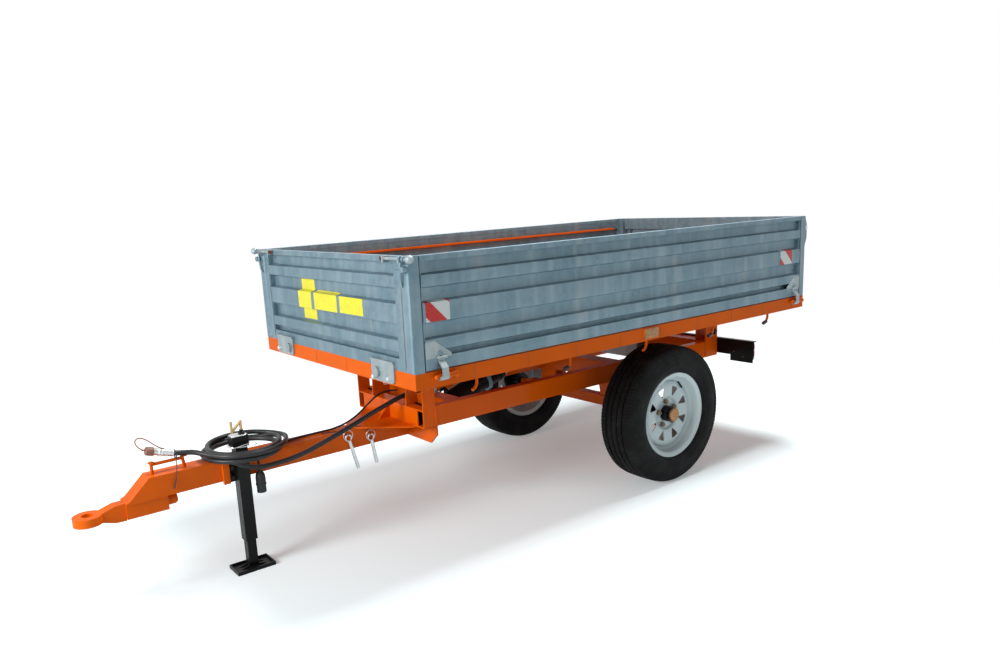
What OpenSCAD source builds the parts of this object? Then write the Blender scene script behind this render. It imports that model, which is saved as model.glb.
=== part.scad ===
// Single-axle dump trailer with drop sides, parked on its wheels and its jack.
// X runs forward to the tow eye, Y to the left, Z up; the ground is at Z = 0.
// Inside the modules X is counted from the axle, and shift_x moves the origin
// to the middle of the overall length.

/* [Bed] */
// Length of the bed over its frame rails
bed_l = 2374; // [2200:1:2500]
// Width of the bed over its frame rails
bed_w = 1226; // [1180:1:1300]
// Distance of the bed's rear edge behind the axle
bed_rear = 981; // [940:1:1010]
// Height of the bed frame's edge rail
rail_h = 58; // [50:1:70]
// Depth of the edge rail, front to back of its folds
rail_d = 45; // [35:1:55]
// Thickness of the folded steel of the bed frame
rail_t = 4; // [3:0.5:6]
// Thickness of the floor sheet
floor_t = 3; // [2:0.5:5]
// Spacing of the bearers under the floor
bearer_pitch = 253; // [230:1:280]
// Height of a bearer
bearer_h = 38; // [30:1:45]
// Depth of the two long members under the bearers
longeron_h = 58; // [40:1:62]
// Distance of the long members' middles from the centre line
longeron_y = 190; // [178:1:205]
// Width of a long member
longeron_w = 40; // [30:1:50]
// Width of a bearer
bearer_w = 40; // [30:1:50]
// Width of the bolster over the axle
bolster_w = 60; // [50:1:80]
// Length of the bolster across the trailer
bolster_l = 790; // [700:1:900]
// Diameter of the rope hooks' bar
hook_d = 11; // [8:1:14]
// Radius of the rope hooks' bend
hook_r = 30; // [20:1:36]

/* [Latches] */
// Diameter of a latch bar
latch_d = 18; // [14:1:20]
// Length of a latch bar
latch_l = 70; // [60:1:90]
// Distance of the latch bars' middles out from the rail
latch_out = 11; // [10:0.5:14]
// Height of the latch bars' middles above the rail's foot
latch_up = 38; // [30:1:44]
// Distance of the front latch bars from the bed's front edge
latch_front = 110; // [95:1:130]
// Distance of the rear latch bars from the bed's rear edge
latch_rear = 86; // [75:1:110]
// Distance of the tailgate's latch bars from the bed's side
latch_side = 113; // [100:1:140]
// Width of a latch strap
strap_w = 26; // [20:1:32]
// Height of a latch strap's top above the rail
strap_rise = 68; // [60:1:80]

/* [Boards] */
// Height of the boards above the rails
board_h = 399; // [350:1:480]
// Depth of the pressed ribs
rib_d = 21; // [14:1:24]
// Thickness of the board sheet
sheet_t = 2; // [1.5:0.5:3]
// Width of the stiles that close each board
stile_w = 42; // [34:1:55]
// Width of a front corner post
front_post_w = 41; // [36:1:50]
// Width of a rear corner post
rear_post_w = 36; // [32:1:46]
// Width of the corner posts across the trailer
post_w = 53; // [48:1:62]
// Gap round each hinged board
board_gap = 5; // [5:0.5:8]
// Length of the corner gussets at a hinged board's foot
gusset_l = 100; // [80:1:120]
// Height of the corner gussets above the board's foot
gusset_h = 112; // [90:1:130]
// Width of the brackets at the front board's foot
bracket_w = 154; // [130:1:170]
// Height of the brackets at the front board's foot
bracket_h = 81; // [70:1:90]
// Distance of the front brackets' middles from the centre line
bracket_y = 410; // [380:1:440]
// Diameter of the corner levers' rod
lever_d = 10; // [8:1:12]
// Length of the corner levers' rod
lever_l = 160; // [140:1:180]
// Diameter of the corner levers' ball
ball_d = 30; // [24:1:34]

/* [Wheels] */
// Outside diameter of the tyre
tyre_od = 629; // [600:1:660]
// Section width of the tyre
tyre_w = 195; // [175:1:205]
// Distance of each wheel's middle from the centre line
track_half = 508; // [500:1:515]
// Diameter of the rim at the bead seats
bead_d = 356; // [330:1:368]
// Width of the rim between its flanges
rim_w = 140; // [120:1:150]
// Bolt circle of the wheel
stud_pcd = 112; // [98:1:130]
// Number of wheel studs
stud_n = 5; // [4:1:6]
// Width of the tread grooves
groove_w = 8; // [6:1:10]
// Diameter of the wheel's centre bore
wheel_bore = 72; // [66:1:76]
// Side of the square axle tube
axle_s = 50; // [40:1:60]

/* [Chassis] */
// Height of the axle brackets
axle_bracket_h = 90; // [80:1:110]
// Width of the axle brackets across the trailer
axle_bracket_w = 110; // [90:1:130]
// Height of the chassis beams
beam_h = 85; // [70:1:95]
// Width of the chassis beams
beam_b = 40; // [30:1:50]
// Distance of the beams' outer faces from the centre line
beam_y = 260; // [250:1:275]
// Wall thickness of the chassis tubes
tube_t = 5; // [3:0.5:6]
// Distance of the chassis' front face ahead of the axle
chassis_front = 1140; // [1110:1:1180]
// Distance of the chassis' rear face behind the axle
chassis_rear = 765; // [740:1:790]
// Height of the pivot axis above the beams
pivot_rise = 86; // [76:1:100]
// Height of the bed's edge rail above the pivot axis
pivot_drop = 90; // [86:1:110]
// Diameter of the pivot pins
pivot_d = 30; // [24:1:34]
// Thickness of the pivot stand plates
stand_t = 6; // [4:1:8]
// Space between the plates of a front pivot stand
front_gap = 118; // [100:1:130]
// Space between the plates of a rear pivot stand
rear_gap = 54; // [48:1:70]
// Length of the light board across the trailer
lamp_board_l = 964; // [900:1:1010]
// Height of the light board
lamp_board_h = 82; // [70:1:95]
// Width of a rear lamp
lamp_w = 98; // [80:1:110]

/* [Drawbar] */
// Side of the square drawbar tube
drawbar_s = 80; // [70:1:90]
// Distance of the tow eye's centre ahead of the axle
eye_x = 2357; // [2250:1:2450]
// Outside diameter of the tow eye
eye_od = 98; // [90:1:110]
// Bore of the tow eye
eye_bore = 40; // [36:1:50]
// Thickness of the tow eye's ring
eye_t = 30; // [25:1:36]
// Diameter of the tow eye's shank
shank_d = 35; // [30:1:42]
// Diameter of the hose loop's bar
loop_d = 12; // [8:1:14]
// Diameter of the locking pins
lock_d = 15; // [12:1:18]

/* [Jack] */
// Distance of the jack ahead of the axle
jack_x = 1830; // [1780:1:1850]
// Side of the jack's outer tube
jack_s = 45; // [42:1:50]
// Side of the jack's inner tube
jack_leg_s = 35; // [30:1:37]
// Height of the jack's top above the ground
jack_top = 520; // [500:1:560]
// Height of the outer tube's lower end above the ground
jack_mouth = 115; // [105:1:150]
// Length of the jack's foot plate
foot_l = 148; // [120:1:180]
// Width of the jack's foot plate
foot_w = 92; // [80:1:110]
// Thickness of the jack's foot plate
foot_t = 6; // [4:1:8]
// Diameter of the jack's crank
crank_d = 10; // [8:1:12]

/* [Cylinder] */
// Outside diameter of the cylinder barrel
barrel_d = 96; // [90:1:100]
// Distance of the cylinder's base pin ahead of the axle
base_x = 890; // [870:1:910]
// Height of the cylinder's base pin above the ground
base_z = 415; // [405:1:425]
// Distance of the rod eye's pin ahead of the axle
push_x = 428; // [410:1:450]
// Depth of the rod eye's pin below the edge rail
push_drop = 112; // [105:1:120]
// Length of the push bracket's plate along the bed
push_plate_l = 140; // [130:1:160]

/* [Hidden] */
orange = [0.86, 0.40, 0.06];
zinc = [0.70, 0.73, 0.75];
white = [0.90, 0.90, 0.88];
black = [0.10, 0.10, 0.11];
rubber = [0.07, 0.07, 0.07];
passivated = [0.80, 0.66, 0.32];
red = [0.70, 0.06, 0.05];
amber = [0.95, 0.48, 0.05];

// Clearance between pieces that are set against each other without a weld
seat = 0.3;
// Distance of the wheel disc's inner face outwards from the wheel's middle
disc_in = 21;
// Clearance on each side of a piece that slides or turns in another
running = 0.5;
// How far a welded shape reaches into the one that it is welded to
bite = 1;
fine = 64;

// Heights, from the ground up
axle_z = tyre_od / 2;
beam_z0 = axle_z + axle_s / 2 + axle_bracket_h;
beam_z1 = beam_z0 + beam_h;
pivot_z = beam_z1 + pivot_rise;
rail_z0 = pivot_z + pivot_drop;
rail_z1 = rail_z0 + rail_h;
board_z1 = rail_z1 + board_h;
drawbar_z0 = beam_z0 - drawbar_s;
floor_z0 = rail_z1 - floor_t;
latch_z = rail_z0 + latch_up;
bearer_z0 = floor_z0 - bearer_h;
longeron_z0 = bearer_z0 - longeron_h;
bolster_z0 = beam_z1 + 43;

// Places along X
bed_x0 = -bed_rear;
bed_x1 = bed_l - bed_rear;
stand_len = 58;
rear_stand_len = 100;
front_pivot_x = chassis_front - stand_len / 2;
rear_pivot_x = rear_stand_len / 2 - chassis_rear;
// Height of the front crossmember's channel
channel_h = 74;
longeron_x0 = bed_x0 + 206;
longeron_x1 = bed_x1 - 233;
latch_wall = 3.5;
latch_play = 1.5;
latch_reach = latch_out + latch_d / 2 + latch_play + latch_wall;
latch_xs = [bed_x1 - latch_front, bed_x0 + latch_rear];
latch_y = bed_w / 2 - latch_side;
// Shares of the bed's length, from the front, at which the rope hooks stand
HOOKS = [0.115, 0.3125, 0.5025, 0.698, 0.8815];
eye_tip_x = eye_x + eye_od / 2;
// The rear reach of the bed's fittings, which sets the middle of the overall length
rear_reach = 25;
shift_x = (eye_tip_x - bed_rear - rear_reach) / 2;

// Board thickness, and the axis that each hinged board hangs from
board_t = rib_d + sheet_t + 1;
hang_drop = 14;
hang_z = board_z1 - hang_drop;
hang_pin_d = 12;
hang_pin_l = 14;

// Drawbar front end and the sleeve that carries the eye's shank
sleeve_w = 70;
sleeve_h = 52;
sleeve_x0 = eye_x - 262;
sleeve_x1 = eye_x - 119;
sleeve_z0 = drawbar_z0 - sleeve_h;
shank_z = drawbar_z0 - sleeve_h / 2;
nose_x = eye_x - 206;
nose_drop = 76;

// Jack centre line beside the drawbar
jack_y = drawbar_s / 2 + jack_s / 2 + 6;
jack_leg_z1 = jack_top - 140;

// Cylinder: closed length and lean come from its two pins
push_z = rail_z0 - push_drop;
cyl_closed = sqrt(pow(base_x - push_x, 2) + pow(push_z - base_z, 2));
cyl_lean = atan2(push_z - base_z, base_x - push_x);
cyl_eye_r = 24;
stage_d = [82, 64, 46];
stage_wall = 8.5;
stage_step = 24;
barrel_end = cyl_closed - 3 * stage_step - 46;

// Hose route, counted from the axle: from the port to the coil, then on to the coupling
hose_d = 19;
hose_coil_r = 140;
hose_coil_c = [1795, 20];
hose_coil_h = 38;
hose_run_pts = [
  [975, 70, 532], [1010, 75, 538], [1060, 92, 545], [1110, 105, 546], [1160, 108, 536],
  [1220, 107, 518], [1285, 106, 498], [1350, 108, 477], [1415, 110, 457], [1480, 112, 438],
  [1540, 113, 421], [1600, 114, 406], [1660, 115, 397], [1720, 117, 394], [1780, 120, 398],
  [1835, 122, 416], [1880, 118, 441]
];
hose_tail_pts = [
  [1942, 28, 460], [1975, 12, 472], [2006, 3, 482], [2035, 0, 488], [2052, 0, 489]
];
cable_d = 8;
plug_l = 70;
cable_pts = [
  [1060, -60, 524], [1110, -62, 528], [1160, -55, 522], [1215, -40, 500], [1270, -26, 472],
  [1330, -18, 448], [1400, -14, 435], [1480, -12, 434], [1560, -6, 434], [1630, 6, 434],
  [1690, 24, 436], [1735, 44, 438], [1758, 62, 428], [1765, 72, 408], [1766, 76, 388],
  [1766, 77, 374]
];

// Locking pins: distance ahead of the chassis, ring's height below the drawbar's top, lean, length
LOCKS = [[231, 29, 14, 128], [128, 48, 9, 104]];

// Moves axle-centred shapes to the model's own origin
module framed() {
  translate([-shift_x, 0, 0]) children();
}

// A box from its lowest to its highest corner
module block(a, b) {
  translate(a) cube(b - a);
}

// The same shape on the left and on the right
module both_sides() {
  children();
  mirror([0, 1, 0]) children();
}

// A straight square tube along X, from its lowest to its highest corner
module tube_x(a, b, t) {
  difference() {
    block(a, b);
    block([a.x - 1, a.y + t, a.z + t], [b.x + 1, b.y - t, b.z - t]);
  }
}

// A straight square tube along Y
module tube_y(a, b, t) {
  difference() {
    block(a, b);
    block([a.x + t, a.y - 1, a.z + t], [b.x - t, b.y + 1, b.z - t]);
  }
}

// A round bar along Y, centred on a point
module bar_y(p, d, l) {
  translate(p) rotate([90, 0, 0]) cylinder(d = d, h = l, center = true, $fn = fine);
}

// A round bar along X, centred on a point
module bar_x(p, d, l) {
  translate(p) rotate([0, 90, 0]) cylinder(d = d, h = l, center = true, $fn = fine);
}

// A round bar along Z, standing on a point
module bar_z(p, d, l) {
  translate(p) cylinder(d = d, h = l, $fn = fine);
}

// A round bar from one point to another
module rod(a, b, d) {
  v = b - a;
  translate(a) rotate([0, acos(v.z / norm(v)), atan2(v.y, v.x)]) cylinder(d = d, h = norm(v), $fn = fine);
}

// A round bar bent at points
module bent_rod(pts, d) {
  for (i = [0:len(pts) - 2]) rod(pts[i], pts[i + 1], d);
  for (i = [1:len(pts) - 2]) translate(pts[i]) sphere(d = d, $fn = fine);
}

// A plate in the XZ plane: its outline, and its two faces along Y
module plate_xz(y0, y1, pts) {
  translate([0, y1, 0]) rotate([90, 0, 0]) linear_extrude(y1 - y0) polygon(pts);
}

// A plate in the YZ plane: its outline, and its two faces along X
module plate_yz(x0, x1, pts) {
  translate([x0, 0, 0]) rotate([90, 0, 90]) linear_extrude(x1 - x0) polygon(pts);
}

// Sweep of a round section along points: rings, then skin and end caps
function unit(v) = v / norm(v);
function along(p, i) = unit(p[min(i + 1, len(p) - 1)] - p[max(i - 1, 0)]);
function ring(p, i, r, n) =
  let (t = along(p, i), u = unit(cross(t, [0.31, 0.62, 0.72])), v = cross(t, u))
  [for (k = [0:n - 1]) p[i] + r * (cos(360 * k / n) * u + sin(360 * k / n) * v)];
module sweep(p, d, n) {
  rings = [for (i = [0:len(p) - 1]) each ring(p, i, d / 2, n)];
  m = len(p);
  skin = [for (i = [0:m - 2], k = [0:n - 1])
    [i * n + k, i * n + (k + 1) % n, (i + 1) * n + (k + 1) % n, (i + 1) * n + k]];
  caps = [[for (k = [n - 1:-1:0]) k], [for (k = [0:n - 1]) (m - 1) * n + k]];
  polyhedron(rings, concat(skin, caps));
}

// Tow eye: forged ring on a tapering shank that turns in the drawbar's sleeve
module tow_eye() {
  neck_x = sleeve_x1 + seat;
  nut_l = 32;
  color(orange) framed() {
    difference() {
      union() {
        translate([eye_x, 0, shank_z]) cylinder(d = eye_od, h = eye_t, center = true, $fn = fine);
        plate_xz(-25, 25, [
          [neck_x, shank_z - 31], [neck_x + 34, shank_z - 30], [eye_x - 36, shank_z - eye_t / 2],
          [eye_x - 36, shank_z + eye_t / 2], [neck_x + 34, shank_z + 30], [neck_x, shank_z + 31]
        ]);
        rod([sleeve_x0 - nut_l - 6, 0, shank_z], [neck_x + 6, 0, shank_z], shank_d);
      }
      translate([eye_x, 0, shank_z]) cylinder(d = eye_bore, h = eye_t + 2, center = true, $fn = fine);
    }
    bar_x([sleeve_x0 - nut_l / 2 - seat, 0, shank_z], sleeve_h - 10, nut_l);
  }
}

// Drawbar: square tube with a sloped nose, the shank sleeve, a flange for the jack and a hose loop
module drawbar() {
  h = drawbar_s / 2;
  x0 = chassis_front - stand_len;
  loop_x0 = eye_x - 343;
  loop_x1 = eye_x - 228;
  loop_rise = 34;
  slope_z = drawbar_z0 + 12;
  color(orange) framed() {
    difference() {
      plate_xz(-h, h, [
        [x0, drawbar_z0], [sleeve_x1, drawbar_z0], [sleeve_x1, slope_z - 6],
        [nose_x + nose_drop - 4, slope_z], [nose_x, beam_z0], [x0, beam_z0]
      ]);
      plate_xz(-h + tube_t, h - tube_t, [
        [x0 - 1, drawbar_z0 + tube_t], [sleeve_x1 - 14, drawbar_z0 + tube_t],
        [nose_x - 3, beam_z0 - tube_t], [x0 - 1, beam_z0 - tube_t]
      ]);
    }
    difference() {
      block([sleeve_x0, -sleeve_w / 2, sleeve_z0], [sleeve_x1, sleeve_w / 2, drawbar_z0 + bite]);
      bar_x([(sleeve_x0 + sleeve_x1) / 2, 0, shank_z], shank_d + 2 * running, sleeve_x1 - sleeve_x0 + 2);
    }
    block([jack_x + 41, h - bite, drawbar_z0 - 10], [jack_x + 65, h + 14, beam_z0]);
    bent_rod([
      [loop_x0, 0, beam_z0 - bite], [loop_x0 + 5, 0, beam_z0 + loop_rise],
      [loop_x1, 0, beam_z0 + loop_rise], [loop_x1, 0, beam_z0 - bite]
    ], loop_d);
  }
}

// Jack bracket: black plate between the drawbar's flange and the jack tube
module jack_bracket() {
  h = drawbar_s / 2;
  color(black) framed() difference() {
    block([jack_x - 34, h + seat, drawbar_z0 - 8], [jack_x + 41 - seat, jack_y - jack_s / 2, beam_z0 - 8]);
    for (z = [drawbar_z0 + 12, beam_z0 - 28])
      bar_y([jack_x + 32, h + 4, z], 9, 20);
  }
}

// Jack tube: square outer tube with the gear head on top
module jack_tube() {
  s = jack_s / 2;
  r = jack_leg_s / 2 + running;
  color(black) framed() {
    difference() {
      union() {
        block([jack_x - s, jack_y - s, jack_mouth], [jack_x + s, jack_y + s, jack_top - 38 + bite]);
        block([jack_x - 30, jack_y - s - 1, jack_top - 38], [jack_x + 32, jack_y + s + 1, jack_top]);
      }
      block([jack_x - r, jack_y - r, jack_mouth - 1], [jack_x + r, jack_y + r, jack_top - 41]);
    }
  }
}

// Jack leg: inner tube welded to a folded foot plate
module jack_leg() {
  s = jack_leg_s / 2;
  color(black) framed() {
    difference() {
      block([jack_x - s, jack_y - s, foot_t - bite], [jack_x + s, jack_y + s, jack_leg_z1]);
      block([jack_x - s + 3, jack_y - s + 3, foot_t + 6], [jack_x + s - 3, jack_y + s - 3, jack_leg_z1 + 1]);
    }
    difference() {
      block([jack_x - foot_l / 2, jack_y - foot_w / 2, 0], [jack_x + foot_l / 2, jack_y + foot_w / 2, 14]);
      block([jack_x - foot_l / 2 + 4, jack_y - foot_w / 2 + 4, foot_t], [jack_x + foot_l / 2 - 4, jack_y + foot_w / 2 - 4, 15]);
    }
  }
}

// Jack crank: folding handle, bent to an N
module jack_crank() {
  color(passivated) framed() translate([jack_x, jack_y, jack_top + seat]) {
    bent_rod([[-14, 0, 0], [-14, 0, 50], [22, 0, 14], [22, 0, 54]], crank_d);
    bar_z([-14, 0, 0], 24, 7);
  }
}

// Front crossmember: channel on the drawbar, its corner gussets and the lower plate
module front_crossmember() {
  x1 = chassis_front;
  x0 = chassis_front - stand_len;
  y = beam_y - stand_t;
  z1 = beam_z0 + channel_h;
  inner = beam_y - beam_b - 1;
  color(orange) framed() {
    block([x0, -y, beam_z0], [x1, y, beam_z0 + 5]);
    block([x0, -y, z1 - 5], [x1, y, z1]);
    block([x1 - 5, -y + 39, beam_z0], [x1, y - 39, z1]);
    plate_yz(x0 - 8, x0, [
      [-beam_y, beam_z0 - seat], [-beam_y, drawbar_z0 + 42], [-beam_y + 46, drawbar_z0],
      [beam_y - 46, drawbar_z0], [beam_y, drawbar_z0 + 42], [beam_y, beam_z0 - seat]
    ]);
    block([x0 - 8, -inner, beam_z0 - bite], [x0, inner, beam_z0 + 5]);
    block([x0 - 8, -inner, beam_z0], [x0 + 6, inner, beam_z0 + 5]);
    plate_xz(-4, 4, [[x1 - 2, beam_z0], [x1 + 62, beam_z0], [x1 - 2, z1 - 6]]);
    spread_plate(x1, beam_z0);
  }
}

// Flat plate that spreads from the drawbar's top to the crossmember's ends
module spread_plate(x1, z0) {
  h = drawbar_s / 2;
  translate([0, 0, z0]) linear_extrude(5)
    polygon([[x1 - 2, -beam_y + 50], [x1 + 190, -h], [x1 + 190, h], [x1 - 2, beam_y - 50]]);
}

// Chassis beams: two tubes between the front and the rear stands
module chassis_beams() {
  x0 = rear_stand_len - chassis_rear;
  x1 = chassis_front - stand_len;
  color(orange) framed() both_sides()
    tube_x([x0, beam_y - beam_b, beam_z0], [x1, beam_y, beam_z1], tube_t);
}

// Crossmembers between the beams: over the axle, at the cylinder's base and at the rear
module crossmembers() {
  y = beam_y - beam_b;
  ye = beam_y - stand_t;
  lug_y = 25;
  lug_r = 24;
  color(orange) framed() {
    tube_y([-40, -y, beam_z0], [40, y, beam_z1], tube_t);
    tube_y([base_x + 40, -y, beam_z0], [base_x + 110, y, beam_z1], tube_t);
    both_sides() {
      plate_xz(lug_y, lug_y + 10, [
        [base_x, base_z + lug_r], [base_x + 41, base_z + lug_r], [base_x + 41, beam_z0 + 1],
        [base_x + 100, beam_z0 + 1], [base_x + 100, beam_z0 - 8], [base_x + 20, base_z - lug_r],
        [base_x, base_z - lug_r]
      ]);
      bar_y([base_x, lug_y + 5, base_z], 2 * lug_r, 10);
    }
    bar_y([base_x, 0, base_z], 25, 2 * lug_y + 32);
    tube_y([-chassis_rear, -ye, beam_z0], [80 - chassis_rear, ye, beam_z1], tube_t);
  }
}

// One pivot stand: an outer and an inner plate joined by the pivot pin, the inner one low
// enough for the bed to tip past it
module pivot_stand(x0, x1, foot, gap) {
  inner_y = beam_y - gap - stand_t;
  boss = pivot_d + 16;
  plate_xz(beam_y - stand_t, beam_y, [
    [x0, beam_z0], [x1, beam_z0], [x1, pivot_z + boss / 2], [x0, pivot_z + boss / 2]
  ]);
  plate_xz(inner_y - stand_t, inner_y, [
    [x0, foot], [x1, foot], [x1 - 4, pivot_z - 6], [x0 + 4, pivot_z - 6]
  ]);
  bar_y([(x0 + x1) / 2, inner_y - stand_t / 2, pivot_z], boss, stand_t);
  bar_y([(x0 + x1) / 2, (beam_y + inner_y - stand_t) / 2, pivot_z], pivot_d, gap + 2 * stand_t + 8);
}

// Pivot stands at the four corners of the chassis
module pivot_stands() {
  color(orange) framed() both_sides() {
    pivot_stand(chassis_front - stand_len, chassis_front, beam_z0 + channel_h, front_gap);
    pivot_stand(-chassis_rear, rear_stand_len - chassis_rear, beam_z1, rear_gap);
  }
}

// Axle beam: square tube with a round stub at each end
module axle_beam() {
  s = axle_s / 2;
  l = track_half - 118;
  color(orange) framed() {
    tube_y([-s, -l, axle_z - s], [s, l, axle_z + s], tube_t);
    both_sides() {
      block([-s, l - 12, axle_z - s], [s, l, axle_z + s]);
      rod([0, l - 6, axle_z], [0, track_half + 2, axle_z], axle_s - 12);
    }
  }
}

// Axle brackets: trapezoids between the beams and the axle
module axle_brackets() {
  z0 = axle_z + axle_s / 2;
  y0 = beam_y - axle_bracket_w;
  color(orange) framed() both_sides() {
    plate_yz(-34, -28, [[y0 + 16, z0], [beam_y, z0], [beam_y, beam_z0], [y0, beam_z0]]);
    plate_yz(28, 34, [[y0 + 16, z0], [beam_y, z0], [beam_y, beam_z0], [y0, beam_z0]]);
    block([-34, y0 + 16, z0], [34, beam_y, z0 + 6]);
    block([-34, y0, beam_z0 - 6], [34, beam_y, beam_z0]);
  }
}

// Hub: drum, flange, pilot and grease cap on the left side, turned as one
module hub() {
  stub_r = axle_s / 2 - 6 + running;
  pilot = wheel_bore / 2 - running;
  flange = stud_pcd / 2 + 17;
  cap = pilot - 6;
  color(black) translate([0, track_half + disc_in, axle_z]) rotate([-90, 0, 0]) rotate_extrude($fn = fine)
    polygon([
      [stub_r, -80], [stub_r + 19, -80], [stub_r + 20, -76], [stub_r + 20, -12], [flange, -12],
      [flange, 0], [pilot, 0], [pilot, 31], [pilot - 4, 34], [cap, 34], [cap, 50], [cap - 4, 56],
      [0, 56], [0, -12], [stub_r, -12]
    ]);
}

// Wheel: dished rim with a flanged edge, and a disc with eight windows
module wheel() {
  b = bead_d / 2;
  w = rim_w / 2;
  t = 4;
  edge = 17;
  well = b - 24;
  color(white) translate([0, track_half, axle_z]) rotate([-90, 0, 0]) difference() {
    rotate_extrude($fn = fine) polygon([
      [b + edge, -w - 10], [b + edge, -w - 5], [b, -w], [b - 3, -w + 18], [well, -w + 34],
      [well, w - 44], [b - 6, w - 24], [b - 3, w - 20], [b, w], [b + edge, w + 5],
      [b + edge, w + 10], [b + edge - 4, w + 12], [b - t, w + 4], [b - t - 4, w - 16],
      [b - t - 8, w - 22], [well - t, w - 42], [well - t, disc_in + 17], [well - 22, disc_in + 23],
      [stud_pcd / 2 + 40, disc_in + 19], [stud_pcd / 2 + 32, disc_in + 7],
      [wheel_bore / 2, disc_in + 7], [wheel_bore / 2, disc_in], [stud_pcd / 2 + 32, disc_in],
      [stud_pcd / 2 + 42, disc_in + 11], [well - 22, disc_in + 15], [well - t, disc_in + 9],
      [well - t, -w + 34 + t], [b - t - 4, -w + 18], [b - t, -w - 6], [b + edge - 4, -w - 12]
    ]);
    for (i = [0:7]) rotate([0, 0, 45 * i + 22.5])
      linear_extrude(80) polygon([[well - 50, -3], [well - 15, -23], [well - 15, 23], [well - 50, 3]]);
    for (i = [0:stud_n - 1]) rotate([0, 0, 360 * i / stud_n + 59])
      translate([stud_pcd / 2, 0, 0]) cylinder(d = 15, h = 40, $fn = 32);
  }
}

// Tyre: rounded section with four tread grooves
module tyre() {
  r = tyre_od / 2;
  w = tyre_w / 2;
  b = bead_d / 2 + seat;
  sh = 22;
  groove_pitch = 30;
  side_r = (r - bead_d / 2 - 20) / 2;
  color(rubber) translate([0, track_half, axle_z]) rotate([90, 0, 0]) rotate_extrude($fn = fine)
    difference() {
      union() {
        translate([b, -rim_w / 2 + 1]) square([r - b - sh, rim_w - 2]);
        translate([r - sh, -w + sh + 4]) square([sh, tyre_w - 2 * sh - 8]);
        for (s = [-1, 1]) {
          translate([r - sh, s * (w - sh - 4)]) circle(r = sh, $fn = fine);
          translate([bead_d / 2 + 19 + side_r, s * (w - side_r)]) circle(r = side_r, $fn = fine);
        }
        translate([b + 20, -w + side_r]) square([r - b - 40, tyre_w - 2 * side_r]);
      }
      for (g = [-1.5:1:1.5]) translate([r - 8, g * groove_pitch - groove_w / 2]) square([9, groove_w]);
    }
}

module hub_left() { framed() hub(); }
module hub_right() { framed() mirror([0, 1, 0]) hub(); }
module wheel_left() { framed() wheel(); }
module wheel_right() { framed() mirror([0, 1, 0]) wheel(); }
module tyre_left() { framed() tyre(); }
module tyre_right() { framed() mirror([0, 1, 0]) tyre(); }

// Light board: black folded panel across the rear of the chassis, deeper behind the lamps
module light_board() {
  x1 = -chassis_rear;
  y = lamp_board_l / 2;
  z0 = beam_z0 + 12;
  color(black) framed() {
    block([x1 - 4, -y, z0], [x1, y, z0 + lamp_board_h]);
    block([x1 - 22, -y, z0 + lamp_board_h - 3], [x1 - 3, y, z0 + lamp_board_h]);
    both_sides() block([x1 - 4, y - lamp_w - 41, z0 - 32], [x1, y - 6, z0 + bite]);
  }
}

// Rear lamps: one cluster on each end of the light board
module rear_lamps() {
  x1 = -chassis_rear - 4;
  y1 = lamp_board_l / 2 - 12;
  z0 = beam_z0 - 6;
  color(red) framed() both_sides() {
    block([x1 - 14, y1 - lamp_w, z0], [x1, y1, z0 + lamp_board_h]);
    block([x1 - 34, y1 - lamp_w + 4, z0 + 4], [x1 - 13, y1 - 4, z0 + lamp_board_h - 4]);
  }
}

// Carries a shape from the cylinder's own axis to its lean under the bed
module on_cylinder() {
  translate([base_x, 0, base_z]) rotate([0, -90 + cyl_lean, 0]) children();
}

// Cylinder barrel: open at the rod end, with its base eye
module cylinder_barrel() {
  r = barrel_d / 2;
  color(black) framed() on_cylinder() difference() {
    union() {
      translate([0, 0, 36]) cylinder(r = r, h = barrel_end - 36, $fn = fine);
      translate([0, 0, barrel_end - 26]) cylinder(r = r + 4, h = 26, $fn = fine);
      translate([0, 0, barrel_end - 104]) cylinder(r = r + 6, h = 14, $fn = fine);
      rotate([90, 0, 0]) cylinder(r = 22, h = 40, center = true, $fn = fine);
      translate([-22, -20, 0]) cube([44, 40, 40]);
    }
    translate([0, 0, 46]) cylinder(d = stage_d[0] + 2 * running, h = barrel_end, $fn = fine);
    rotate([90, 0, 0]) cylinder(d = 26, h = 60, center = true, $fn = fine);
  }
}

// One hollow stage of the cylinder
module stage(i) {
  z0 = 48 + 4 * i;
  z1 = barrel_end + stage_step * (i + 1);
  difference() {
    translate([0, 0, z0]) cylinder(d = stage_d[i], h = z1 - z0, $fn = fine);
    translate([0, 0, z0 + 2]) cylinder(d = stage_d[i] - 2 * stage_wall, h = z1 - z0, $fn = fine);
  }
}

module cylinder_stage_1() { color(zinc) framed() on_cylinder() stage(0); }
module cylinder_stage_2() { color(zinc) framed() on_cylinder() stage(1); }

// Cylinder rod: smallest stage with the eye that reaches the bed's bracket
module cylinder_rod() {
  color(zinc) framed() on_cylinder() difference() {
    union() {
      translate([0, 0, 58]) cylinder(d = stage_d[2], h = cyl_closed - 58 - 12, $fn = fine);
      translate([0, 0, cyl_closed]) rotate([90, 0, 0])
        cylinder(r = cyl_eye_r, h = 44, center = true, $fn = fine);
    }
    translate([0, 0, cyl_closed]) rotate([90, 0, 0]) cylinder(d = 26, h = 60, center = true, $fn = fine);
  }
}

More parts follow.
